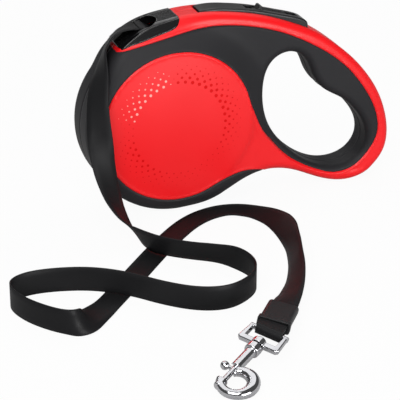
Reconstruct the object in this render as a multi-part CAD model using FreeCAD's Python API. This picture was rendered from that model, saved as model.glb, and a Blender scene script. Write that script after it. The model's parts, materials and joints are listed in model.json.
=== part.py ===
"""Retractable tape leash: drum casing with hand grip, sprung reel, brake, tape and swivel snap hook.

Millimetres.  +X runs from the tape mouth towards the hand grip, +Z is up, Y is the casing's
thickness.  The origin is under the middle of the casing, on the surface that it stands on.
The casing's outlines are written from the drum's centre, and moved to the row frame at export.
"""
import FreeCAD
import Part
import math
import os

V = FreeCAD.Vector

# ---- casing -------------------------------------------------------------------------------
drum_radius = 56.5          # the round front of the casing
drum_half = 19.0            # half thickness at the rim of the side disc
disc_radius = 47.6          # the domed red disc on each side
disc_rise = 2.2             # how far the disc's middle stands above its rim
shoulder_radius = 8.0       # rounding between the rim of the disc and the tread
spine_half = 12.0           # half thickness of the spine and the hand grip
spine_round = 5.0           # rounding along the spine and the hand grip
hole_round = 3.4            # rounding round the finger opening
cone_radius = 63.0          # where the slope from the disc reaches the spine's thickness
side_step = 0.4             # the thick drum stands this far inside the spine's side view
tail_x = 145.2              # the rear of the hand grip, from the drum's centre
wall = 3.0                  # casing wall
skin = 1.6                  # depth of the soft black overmould
chin_angle = 145.0          # the round front ends here, above the front
foot_angle = -86.0          # and here, under the drum

# ---- reel ---------------------------------------------------------------------------------
tape_width = 15.0
tape_thick = 1.0
lead_gap = 0.35             # between the wound tape's lead and the free tape, at the mouth
reel_gap = 0.5              # between the wound tape and a flange
flange_thick = 1.6
flange_radius = 49.6
ratchet_radius = 51.0
ratchet_depth = 2.3
ratchet_teeth = 24
ratchet_start = 13.0        # the first gap, in degrees, lies so that the tooth drops into a gap
hub_radius = 20.0
hub_wall = 1.6
coil_radius = 42.0          # wound tape, with the free stretch pulled out
spindle_radius = 4.0
run_gap = 0.05              # radial gap of a part that turns on a shaft
bush_radius = 6.0
spring_strip = 0.5
spring_turns = 7
spring_width = 11.0
cap_y = -8.1                # the inner face of the spring's cap

# ---- mouth --------------------------------------------------------------------------------
mouth_x, mouth_z = -13.6, 61.5
mouth_half_width = 8.8
mouth_half_height = 6.2
mouth_tilt = 41.0           # the passage climbs forwards at this angle
roller_x, roller_z = -17.5, 57.9
roller_radius = 2.4
roller_half = 8.6
roller_pin_radius = 1.0

# ---- brake --------------------------------------------------------------------------------
button_half = 6.5
button_gap = 0.3
well_x = 16.5               # the front of the opening, clear of the button as it tips forward
pivot_x, pivot_z = 83.0, 48.0
pivot_radius = 1.5
knuckle_radius = 3.2
slot_half = 3.6
slot_start = (48.0, 63.3)
slot_end = (83.0, 53.2)
slider_thick = 1.5
slider_gap = 0.15
lock_travel = 6.0
lock_foot = 14.0            # where the lock's foot stands along the slot
lock_foot_long = 3.0
pin_end = 10.3              # the brake pins' half length
shelf_top = 54.0            # the brake spring stands on this
brake_spring_x, brake_spring_y = 34.0, -2.6
brake_spring_radius = 2.2
brake_spring_top = 64.1     # under the button
brake_wire = 0.35

# ---- screws -------------------------------------------------------------------------------
screw_places = [(-33.5, 46.6), (51.0, 33.0), (46.0, -35.5), (105.0, -50.8), (137.2, -24.0)]
screw_radius = 1.25
screw_head_radius = 2.7
screw_gap = 0.2
screw_head_y = 7.0          # the heads' undersides
screw_head_thick = 1.8
screw_depth = 8.5

# ---- snap hook ----------------------------------------------------------------------------
hook_point = V(-66.9, -204.4, 9.65)     # where the shank leaves the swivel eye
hook_axis = V(-0.7899, -0.5952, -0.1478)  # from the eye to the tip of the hook
hook_roll = 7.5                         # degrees that the hook leans over on its side
eye_roll = 7.5
eye_half = 12.2                         # half the width across the eye's front corners
eye_rear_half = 11.2
eye_depth = 14.2
eye_bar = 3.2
eye_front_bar = 3.2
eye_window_half = 9.3
eye_boss_radius = 4.0
stud_radius = 1.7
stud_head_radius = 2.9
stud_depth = 4.4                        # how far the stud stands in the hook's collar
collar_radius = 4.2
collar_end = 6.0
shank_radius = 3.0
shank_start, shank_end = 1.2, 20.8
bolt_radius = 1.5
bolt_gap = 0.08
bolt_rear = 13.6
spring_seat = 5.0                       # the blind end of the bolt's bore
bolt_wire = 0.25
ring_s, ring_t = 30.2, 6.6              # centre of the ring, along the axis and to its side
ring_a, ring_b = 8.8, 8.3               # its middle line's half axes
ring_wire = 2.6
ring_cut = 2.1                          # the ring is cut away up to here beside the bolt
seat_start, seat_end = 33.0, 38.6
seat_radius = 2.6
bolt_catch = 1.2                        # how far the bolt reaches into its seat
knob_s = 22.4
knob_reach = 5.5
knob_radius = 2.4
knob_stem = 1.1
bolt_travel = 5.0

# ---- sleeve -------------------------------------------------------------------------------
sleeve_half_width = 8.6
sleeve_half_thick = 2.9
sleeve_lip = 3.4            # length of the lip at its front
sleeve_lip_rise = 0.4
sleeve_bar_gap = 10.0       # from the sleeve's front to the bar of the eye
loop_mouth = 2.4            # half height of the sleeve's front opening
loop_gap = 0.3              # between the folded tape and the bar
loop_reach = 14.0           # how far the folded tape runs back inside the sleeve

drum_centre = V(-(tail_x - drum_radius) / 2, 0, drum_radius)
floor = -drum_radius


def xz(x, z, y=0.0):
    """A point of the casing, from the drum's centre."""
    return V(x, y, z)


def polar(radius, degrees, y=0.0):
    a = math.radians(degrees)
    return V(radius * math.cos(a), y, radius * math.sin(a))


def spline(points, start, end):
    """A smooth curve through the points, with these directions at its two ends."""
    curve = Part.BSplineCurve()
    start.normalize()
    end.normalize()
    curve.interpolate(Points=points, InitialTangent=start, FinalTangent=end, Scale=False)
    return curve


def sideways(curve, points, distance):
    """The points, each moved square to the curve in the XZ plane."""
    moved = []
    for p in points:
        t = curve.tangent(curve.parameter(p))[0]
        n = V(t.z, 0, -t.x)
        n.normalize()
        moved.append(p + n * distance)
    return moved


def prism(wire, low, high):
    """The XZ wire as a solid between two Y values."""
    face = Part.Face(wire)
    face.translate(V(0, low, 0))
    return face.extrude(V(0, high - low, 0))


def polygon_prism(points, low, high):
    loop = [xz(x, z) for x, z in points]
    return prism(Part.makePolygon(loop + loop[:1]), low, high)


def box(x0, x1, y0, y1, z0, z1):
    return Part.makeBox(x1 - x0, y1 - y0, z1 - z0, V(x0, y0, z0))


def rod(x, z, radius, y0, y1):
    return Part.makeCylinder(radius, y1 - y0, V(x, y0, z), V(0, 1, 0))


def ring(x, z, outer, inner, y0, y1):
    return rod(x, z, outer, y0, y1).cut(rod(x, z, inner, y0 - 1, y1 + 1))


# ---- outlines -----------------------------------------------------------------------------

outline_points = [
    (20.5, -54.3), (37.7, -46.8), (53.0, -41.0), (66.0, -40.6), (79.5, -44.0), (94.0, -50.6),
    (107.0, -55.3), (118.2, floor + 0.05), (129.5, -53.7), (138.2, -46.8), (143.6, -38.0),
    (tail_x, -27.0), (143.0, -12.8), (138.1, 0.2), (130.6, 12.6), (120.6, 24.6),
    (108.1, 35.9), (94.5, 45.6), (75.5, 54.6), (58.0, 60.8), (39.0, 65.0), (17.3, 67.2),
    (-5.3, 65.0), (-17.5, 61.8), (-29.0, 55.4), (-36.0, 49.4), (-41.6, 41.2),
]
hole_points = [
    (77.6, 35.4), (87.0, 29.2), (92.2, 18.0), (99.6, 8.2), (112.7, -0.2), (122.4, -10.0),
    (129.0, -21.8), (129.4, -32.0), (123.8, -40.5), (112.4, -45.0), (101.0, -44.2),
    (88.4, -38.6), (75.5, -27.9), (64.4, -13.8), (58.2, 2.5), (58.6, 19.5), (66.4, 32.7),
]


def outline(inset=0.0):
    """The casing's side view: the round drum, then the belly, hand grip, spine and chin."""
    radius = drum_radius
    start, end = polar(radius, foot_angle), polar(radius, chin_angle)
    out, back = polar(1, foot_angle + 90), polar(1, chin_angle + 90)
    points = [start] + [xz(x, z) for x, z in outline_points] + [end]
    curve = spline(points, out, back)
    if inset:
        points = sideways(curve, points, -inset)
        points[0], points[-1] = polar(radius - inset, foot_angle), polar(radius - inset, chin_angle)
        curve = spline(points, out, back)
    middle = polar(radius - inset, (chin_angle + foot_angle + 360) / 2)
    arc = Part.Arc(points[-1], middle, points[0])
    return Part.Wire([curve.toShape(), arc.toShape()])


def hole(inset=0.0):
    """The finger opening, which grows with the inset."""
    points = [xz(x, z) for x, z in hole_points]
    curve = Part.BSplineCurve()
    curve.interpolate(Points=points, PeriodicFlag=True)
    if inset:
        points = sideways(curve, points, -inset)
        curve = Part.BSplineCurve()
        curve.interpolate(Points=points, PeriodicFlag=True)
    return Part.Wire([curve.toShape()])


# The line between the red shell and the black overmould: along under the spine from the chin,
# round the tail, forwards above the belly to the disc, and round the disc to the belly.
seam_points = [
    (-47.0, 48.4), (-36.0, 49.6), (-29.0, 51.2), (-9.0, 55.4), (16.5, 59.2), (42.0, 57.4),
    (68.0, 50.3), (91.0, 38.9), (112.5, 23.0), (127.8, 3.9), (136.2, -15.0), (136.3, -27.5),
    (131.8, -36.2), (121.5, -46.2), (108.5, -49.0), (96.5, -45.6), (83.2, -38.6),
    (71.8, -29.7), (63.0, -19.6), (56.3, -10.9), (50.6, 0.6),
]
disc_join = 16.0            # the seam meets the disc at this angle
disc_leave = 298.0          # and leaves it here, under the drum
belly_points = [(33.5, -37.7), (41.5, -35.9), (49.5, -36.3), (56.5, -38.6), (62.0, -43.5)]


def black_region():
    """The side view of the overmould, which runs past the outline at the front."""
    join = polar(disc_radius, disc_join)
    leave = polar(disc_radius, disc_leave)
    points = [xz(x, z) for x, z in seam_points] + [join]
    upper = spline(points, V(1, 0, 0.02), polar(1, disc_join + 90))
    disc = Part.Arc(join, polar(disc_radius, (disc_join + disc_leave) / 2), leave)
    belly = [leave] + [xz(x, z) for x, z in belly_points]
    lower = spline(belly, polar(1, disc_leave + 90), V(0.6, 0, -1))
    outside = [belly[-1], xz(belly[-1].x, -70.0), xz(-75.0, -70.0), xz(-75.0, 49.0), points[0]]
    edges = [upper.toShape(), disc.toShape(), lower.toShape()]
    return Part.Wire(edges + Part.makePolygon(outside).Edges)


# ---- casing solids ------------------------------------------------------------------------

def turned(profile_edges):
    """A solid turned about the drum's axis from edges in the YX half plane."""
    return Part.Face(Part.Wire(profile_edges)).revolve(V(0, 0, 0), V(0, 1, 0), 360)


def dome_line(rim, edge, crown):
    """From the middle of a side disc, level at first, then falling gently to its rim."""
    line = Part.BezierCurve()
    line.setPoles([V(0, crown, 0), V(rim / 2, crown, 0), V(rim, edge, 0)])
    return line


def drum(inset=0.0):
    """The drum with its two domed discs and rounded shoulders."""
    half = drum_half - inset
    crown = half + disc_rise
    radius = drum_radius - inset
    r = shoulder_radius
    rim = radius - r
    bend = math.sqrt(0.5) * r
    right = dome_line(rim, -half, -crown)
    left = dome_line(rim, half, crown)
    low = Part.Arc(V(rim, -half, 0), V(rim + bend, -(half - r + bend), 0), V(radius, r - half, 0))
    high = Part.Arc(V(radius, half - r, 0), V(rim + bend, half - r + bend, 0), V(rim, half, 0))
    tread = Part.LineSegment(V(radius, r - half, 0), V(radius, half - r, 0))
    axis = Part.LineSegment(V(0, crown, 0), V(0, -crown, 0))
    return turned([e.toShape() for e in (right, low, tread, high, left, axis)])


def cone(inset=0.0):
    """The slope from the disc's rim down to the spine and the grip, round the drum's back."""
    half, thin = drum_half - inset, spine_half - inset
    slope = (half - thin) / (cone_radius - disc_radius)
    far = cone_radius + 12
    top = half - 0.05
    corners = [V(0, -top, 0), V(disc_radius, -top, 0), V(far, -thin + 12 * slope, 0)]
    mirrored = [V(p.x, -p.y, 0) for p in reversed(corners)]
    loop = corners + mirrored
    whole = turned(Part.makePolygon(loop + loop[:1]).Edges)
    sector = polygon_prism([(0, 0), (60, -26), (90, -26), (90, 80), (-46, 80), (-46, 40)], -30, 30)
    return whole.common(sector)


def belly(inset=0.0):
    """The red sweep that thins from the disc to the lower bar of the hand grip."""
    half, thin = drum_half - 0.07 - inset, spine_half - 0.4 - inset
    side = spline([V(0, -half, -80), V(36, -half + 0.4, -80), V(62, -thin - 3.2, -80),
                   V(96, -thin, -80)], V(1, 0, 0), V(1, 0, 0))
    other = spline([V(96, thin, -80), V(62, thin + 3.2, -80), V(36, half - 0.4, -80),
                    V(0, half, -80)], V(-1, 0, 0), V(-1, 0, 0))
    ends = [Part.LineSegment(V(96, -thin, -80), V(96, thin, -80)),
            Part.LineSegment(V(0, half, -80), V(0, -half, -80))]
    wire = Part.Wire([side.toShape(), ends[0].toShape(), other.toShape(), ends[1].toShape()])
    plan = Part.Face(wire).extrude(V(0, 0, 160))
    under = [(0, 0), (46, 12.5), (50.6, 1.2), (56.3, -10.5), (63, -19.8), (71.6, -29.8),
             (83.5, -39.3), (96.5, -46.4), (96.5, -75), (0, -75)]
    return plan.common(polygon_prism(under, -30, 30))


def frame(inset=0.0):
    """Nozzle, spine, tail and hand grip: the whole side view at the grip's thickness."""
    half = spine_half - inset
    solid = prism(outline(inset), -half, half)
    solid = rounded(solid, spine_round - inset, half)
    opening = prism(hole(inset), -half - 1, half + 1)
    gap = hole_round - inset
    solid = solid.cut(opening)
    if gap > 0:
        solid = rounded(solid, gap, half, closed=True)
    return solid


def rounded(solid, radius, half, closed=False):
    """The solid with its long rims at both faces rounded off."""
    rims = []
    for edge in solid.Edges:
        on_face = abs(abs(edge.CenterOfMass.y) - half) < 0.01
        if on_face and edge.Length > 20 and edge.isClosed() == closed:
            rims.append(edge)
    return solid.makeFillet(radius, rims)


def body(inset=0.0):
    """The casing's outer form, or a copy of it that lies deeper by the inset."""
    step = side_step + 1.4 * inset
    half = drum_half - inset
    limit = rounded(prism(outline(step), -half, half), shoulder_radius - inset, half)
    limit = limit.cut(prism(hole(step), -41, 41))
    thick = cone(inset).fuse(belly(inset)).common(limit)
    return drum(inset).fuse([thick, frame(inset)])


def half_space(side):
    """Everything on one side of the casing's middle plane: -1 is the right, 1 the left."""
    return box(-90, 180, min(0, side * 60), max(0, side * 60), -90, 100)


# ---- nozzle -------------------------------------------------------------------------------

def nozzle_block():
    """The side view of the nozzle's saddle: the front lip, then along under the mouth."""
    points = [xz(-33.0, 51.6), xz(-28.0, 53.2), xz(-20.9, 55.1), xz(-12.1, 57.6), xz(-1.7, 60.4),
              xz(1.6, 62.1), xz(3.7, 65.6), xz(4.2, 69.0)]
    edge = spline(points, V(1, 0, 0.3), V(0, 0, 1))
    over = Part.makePolygon([points[-1], xz(4.2, 75), xz(-40, 75), xz(-40, 51.6), points[0]])
    return prism(Part.Wire([edge.toShape()] + over.Edges), -40, 40)


def mouth_frame():
    """Places a shape built along +Z on the passage's axis, which leaves forwards and up."""
    tilt = math.radians(mouth_tilt)
    out = V(-math.cos(tilt), 0, math.sin(tilt))
    across = V(0, 1, 0)
    up = out.cross(across)
    m = FreeCAD.Matrix(across.x, up.x, out.x, mouth_x, across.y, up.y, out.y, 0,
                       across.z, up.z, out.z, mouth_z, 0, 0, 0, 1)
    return FreeCAD.Placement(m)


def passage():
    """The oval way through the nozzle, with a level sill for the tape at its front."""
    oval = Part.Ellipse(V(0, 0, -20), mouth_half_width, mouth_half_height)
    way = Part.Face(Part.Wire([oval.toShape()])).extrude(V(0, 0, 40))
    way.Placement = mouth_frame()
    sill = roller_z + roller_radius - 0.2
    slot = tape_width / 2 + 0.6
    return way.fuse(box(-24, mouth_x, -slot, slot, sill, sill + 6))


def make_nozzle(outer):
    block = outer.common(nozzle_block()).cut(passage())
    pocket = roller_half + 0.3
    block = block.cut(rod(roller_x, roller_z, roller_radius + 0.5, -pocket, pocket))
    block = block.cut(box(roller_x - 1.8, roller_x + 2.9, -pocket, pocket, 50, roller_z))
    end = roller_half + 1.8
    block = block.cut(rod(roller_x, roller_z, roller_pin_radius, -end, end))
    return block.cut(box(roller_x - roller_pin_radius, roller_x + roller_pin_radius, -end, end,
                         50, roller_z))


def make_guide_roller():
    return ring(roller_x, roller_z, roller_radius, roller_pin_radius + run_gap,
                -roller_half, roller_half)


def make_roller_pin():
    end = roller_half + 1.8
    return rod(roller_x, roller_z, roller_pin_radius, -end, end)


# ---- reel ---------------------------------------------------------------------------------

web_in = tape_width / 2 + reel_gap        # the flanges' inner faces
web_out = web_in + flange_thick
socket_y = web_out + 1.4                  # where the casing's spindle sockets begin
spindle_end = 15.6
hub_inner = hub_radius - hub_wall


def make_reel_ratchet():
    """The left flange, whose rim is cut with ratchet gaps."""
    disc = ring(0, 0, ratchet_radius, bush_radius, web_in, web_out)
    root = ratchet_radius - ratchet_depth
    wide, narrow = 4.2, 2.4
    cutters = []
    for k in range(ratchet_teeth):
        gap = prism(Part.makePolygon([V(root, 0, -narrow), V(root, 0, narrow),
                                      V(ratchet_radius + 2, 0, wide),
                                      V(ratchet_radius + 2, 0, -wide), V(root, 0, -narrow)]),
                    web_in - 1, web_out + 1)
        gap.rotate(V(0, 0, 0), V(0, -1, 0), ratchet_start + 360.0 / ratchet_teeth * k)
        cutters.append(gap)
    windows = []
    for k in range(6):
        window = rod(30.5, 0, 6.5, web_in - 1, web_out + 1)
        window.rotate(V(0, 0, 0), V(0, -1, 0), 60.0 * k + 30.0)
        windows.append(window)
    return disc.cut(cutters + windows)


def make_reel():
    """Ratchet flange and hub in one moulding, closed at the left around a bush."""
    hub = ring(0, 0, hub_radius, hub_inner, -web_out, web_in)
    ledge = ring(0, 0, hub_radius - 0.5, hub_inner - 0.8, cap_y, cap_y + 1.0)
    return make_reel_ratchet().fuse([hub, ledge])


def make_reel_flange():
    """The plain right flange, pressed over the hub."""
    return ring(0, 0, flange_radius, hub_radius, -web_out, -web_in)


def make_spring_cap():
    return ring(0, 0, hub_inner, bush_radius, -web_out, cap_y)


def make_reel_bushes():
    bore = spindle_radius + run_gap
    out = web_out + 1.1
    left = ring(0, 0, bush_radius, bore, web_in - 0.5, web_out)
    left = left.fuse(ring(0, 0, bush_radius + 1.5, bore, web_out, out))
    right = ring(0, 0, bush_radius, bore, -web_out, cap_y + 0.5)
    right = right.fuse(ring(0, 0, bush_radius + 1.5, bore, -out, -web_out))
    return Part.makeCompound([left, right])


def make_spindle():
    return rod(0, 0, spindle_radius, -spindle_end, spindle_end)


def make_power_spring():
    """A flat strip wound from the spindle outwards, drawn as half circles that grow by turns."""
    first = spindle_radius
    room = hub_inner - 0.8 - 0.4 - first - spring_strip
    step = room / (2 * spring_turns)
    outer, inner = [], []
    centre = 0.0
    radius = first + spring_strip / 2
    for k in range(2 * spring_turns):
        side = 1 if k % 2 == 0 else -1
        for rail, shift in ((outer, spring_strip / 2), (inner, -spring_strip / 2)):
            r = radius + shift
            rail.append(Part.Arc(V(centre + side * r, 0, 0), V(centre, 0, side * r),
                                 V(centre - side * r, 0, 0)).toShape())
        centre += side * step
        radius += step
    # the strip's ends are closed by short straight lines
    a = outer[0].Vertexes[0].Point
    b = inner[0].Vertexes[0].Point
    c = outer[-1].Vertexes[-1].Point
    d = inner[-1].Vertexes[-1].Point
    edges = outer + [Part.LineSegment(c, d).toShape()] + inner + [Part.LineSegment(a, b).toShape()]
    wire = Part.Wire(Part.__sortEdges__(edges))
    return prism(wire, -spring_width / 2 - 1.2, spring_width / 2 - 1.2)


def make_tape_coil():
    return ring(0, 0, coil_radius, hub_radius, -tape_width / 2, tape_width / 2)


# ---- brake --------------------------------------------------------------------------------

button_top = [(18.0, 67.6), (27.5, 68.1), (37.2, 67.1), (46.6, 65.6), (58.6, 62.9), (74.1, 58.5),
              (85.0, 54.9), (88.4, 52.4), (89.0, 49.0)]
button_under = [(88.0, 45.6), (85.0, 43.6), (81.0, 43.8), (78.6, 46.6), (74.0, 51.0), (58.0, 56.4),
                (40.0, 60.4), (24.0, 62.4), (18.0, 62.8)]
post_x, post_half = 26.0, 1.6
post_foot = 52.2            # the post's lower end, just over the pawl's arm
pawl_x, pawl_z = 44.0, 46.0
pawl_pin_radius = 1.2
pawl_low_y, pawl_high_y = 3.2, 8.6


def button_side(low, high):
    top = [xz(x, z) for x, z in button_top]
    curve = spline(top, V(1, 0, 0.12), V(0, 0, -1))
    loop = [top[-1]] + [xz(x, z) for x, z in button_under] + [top[0]]
    return prism(Part.Wire([curve.toShape()] + Part.makePolygon(loop).Edges), low, high)


def slot_frame():
    """The line of the lock's slot floor: its start, its direction and its upright."""
    start = xz(slot_start[0], slot_start[1])
    along = xz(slot_end[0], slot_end[1]) - start
    length = along.Length
    along.normalize()
    return start, along, V(-along.z, 0, along.x), length


def in_slot(x0, x1, y0, y1, z0, z1):
    """A block measured along the slot, across it and up from its floor."""
    start, along, up, length = slot_frame()
    corners = [start + along * x0 + up * z0, start + along * x1 + up * z0,
               start + along * x1 + up * z1, start + along * x0 + up * z1]
    return prism(Part.makePolygon(corners + corners[:1]), y0, y1)


def make_brake_button():
    """A hollow rocker: it turns on a pin at its rear, and its post pushes the brake pawl."""
    solid = button_side(-button_half, button_half)
    rims = [e for e in solid.Edges if abs(abs(e.CenterOfMass.y) - button_half) < 0.01
            and e.Length > 50 and e.CenterOfMass.z > 57]
    solid = solid.makeFillet(1.2, rims)
    inner = button_half - 1.5
    hollow = polygon_prism([(20.0, 50.0), (20.0, 65.0), (40.0, 64.0), (49.0, 61.0), (76.0, 52.8),
                            (76.0, 40.0)], -inner, inner)
    length = slot_frame()[3]
    solid = solid.cut(hollow)
    solid = solid.cut(in_slot(0, length, -slot_half, slot_half, 0, 8))
    solid = solid.cut(in_slot(lock_foot - lock_travel - 0.3, lock_foot + lock_foot_long + 0.3,
                              -1.7, 1.7, -6, 1))
    post = box(post_x - post_half, post_x + post_half, 3.4, 6.0, post_foot, 65.5)
    peg = brake_spring_radius - 2 * brake_wire - 0.25
    seat = rod_up(brake_spring_x, brake_spring_y, peg, shelf_top + 8.2, 65.4)
    solid = solid.fuse([post, seat])
    knuckle = rod(pivot_x, pivot_z, knuckle_radius, -button_half + 0.1, button_half - 0.1)
    solid = solid.fuse(knuckle)
    return solid.cut(rod(pivot_x, pivot_z, pivot_radius + run_gap, -10, 10))


def rod_up(x, y, radius, z0, z1):
    return Part.makeCylinder(radius, z1 - z0, V(x, y, z0), V(0, 0, 1))


def make_brake_pivot_pin():
    return rod(pivot_x, pivot_z, pivot_radius, -pin_end, pin_end)


def make_pawl_pin():
    return rod(pawl_x, pawl_z, pawl_pin_radius, -pin_end, pin_end)


def make_brake_pawl():
    """An arm that hangs over the ratchet from its pin, with a tooth beside the arm."""
    low, high = pawl_low_y, pawl_high_y
    arm = polygon_prism([(44.0, 49.0), (24.0, 52.0), (24.0, 48.8), (28.0, 48.4), (44.0, 43.0)],
                        low, high)
    eye = rod(pawl_x, pawl_z, 3.0, low, high)
    tooth = polygon_prism([(24.4, 50.8), (27.6, 50.4), (26.9, 44.9), (25.4, 45.7)],
                          web_in - 0.1, web_out - 0.1)
    bore = rod(pawl_x, pawl_z, pawl_pin_radius + run_gap, low - 1, high + 1)
    return arm.fuse([eye, tooth]).cut(bore)


def make_lock_slider():
    """The lock: a plate in the button's slot with a thumb lug, and a foot under the button."""
    half = slot_half - 0.2
    plate = in_slot(lock_travel + 0.2, 30.0, -half, half, slider_gap, slider_gap + slider_thick)
    start, along, up, length = slot_frame()
    lug = []
    for x, z in ((8.0, 1.0), (9.2, 4.6), (10.4, 4.8), (13.6, 1.0)):
        lug.append(start + along * x + up * z)
    ridge = prism(Part.makePolygon(lug + lug[:1]), -half + 0.2, half - 0.2)
    foot = in_slot(lock_foot, lock_foot + lock_foot_long, -1.5, 1.5, -3.6, slider_gap + 1)
    return plate.fuse([ridge, foot])


def make_brake_spring():
    """A coil spring on end between the casing's shelf and the button."""
    low, high = shelf_top, brake_spring_top
    height = high - low - brake_wire * 2
    pitch = 1.5
    path = Part.makeHelix(pitch, height, brake_spring_radius - brake_wire)
    section = Part.Wire([Part.Circle(V(brake_spring_radius - brake_wire, 0, 0), V(0, 1, 0),
                                     brake_wire).toShape()])
    coil = Part.Wire(path.Edges).makePipeShell([section], True, True)
    coil.translate(V(brake_spring_x, brake_spring_y, low + brake_wire))
    return coil


# ---- casing halves ------------------------------------------------------------------------

def screw_holes(side):
    """Left: a clearance hole and a recess for the head.  Right: the hole that takes the thread."""
    holes = []
    for x, z in screw_places:
        if side > 0:
            holes.append(rod(x, z, screw_radius + screw_gap, -1, screw_head_y))
            holes.append(rod(x, z, screw_head_radius + screw_gap, screw_head_y, 40))
        else:
            holes.append(rod(x, z, screw_radius, -screw_depth, 1))
    return holes


def pin_bores():
    """Blind bores in the casing's side walls for the brake's two pins."""
    return [rod(pivot_x, pivot_z, pivot_radius, -pin_end, pin_end),
            rod(pawl_x, pawl_z, pawl_pin_radius, -pin_end, pin_end)]


def bosses(side, room):
    """Screw posts, the spindle's socket and, on the right, the brake spring's shelf."""
    far = 22.0
    parts = []
    for x, z in screw_places:
        low, high = sorted((0, side * far))
        parts.append(rod(x, z, screw_head_radius + 1.1, low, high))
    low, high = sorted((side * socket_y, side * far))
    parts.append(rod(0, 0, 2 * spindle_radius, low, high))
    if side < 0:
        x = brake_spring_x
        parts.append(box(x - 3.4, x + 3.4, -far, -0.2, shelf_top - 1.8, shelf_top))
    return [p.common(room) for p in parts]


def shell_wall(outer, overmould, inner):
    """The right half of the red wall, open for the nozzle, the overmould and the brake."""
    slot = button_half + button_gap
    well = polygon_prism([(well_x, 56.0), (well_x, 75.0), (95.0, 75.0), (89.4, 49.0), (89.4, 43.0),
                          (76.0, 43.0)], -slot, slot)
    return outer.cut([overmould, inner, nozzle_block(), well])


def make_shell(side, wall_solid, room):
    """One half of the casing: its wall with the posts inside, and the holes through them."""
    shell = wall_solid.fuse(bosses(side, room))
    holes = screw_holes(side) + pin_bores()
    holes.append(rod(0, 0, spindle_radius, -spindle_end, spindle_end))
    return shell.cut(holes)


def make_grip(side, skin_solid):
    """One half of the soft black overmould, less the recesses over the screws on the left."""
    return skin_solid.cut(screw_holes(side)) if side > 0 else skin_solid


def make_case_screws():
    screws = []
    for x, z in screw_places:
        shank = rod(x, z, screw_radius, -screw_depth + 0.3, screw_head_y)
        head = rod(x, z, screw_head_radius, screw_head_y, screw_head_y + screw_head_thick)
        cross = box(x - 1.6, x + 1.6, screw_head_y + 0.9, screw_head_y + 3, z - 0.35, z + 0.35)
        other = box(x - 0.35, x + 0.35, screw_head_y + 0.9, screw_head_y + 3, z - 1.6, z + 1.6)
        screws.append(shank.fuse(head).cut([cross, other]))
    return Part.makeCompound(screws)


# ---- free tape ----------------------------------------------------------------------------
# x and y from the drum's centre and height above the floor, then the side that the tape's
# lower or right-hand edge faces.

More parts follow.
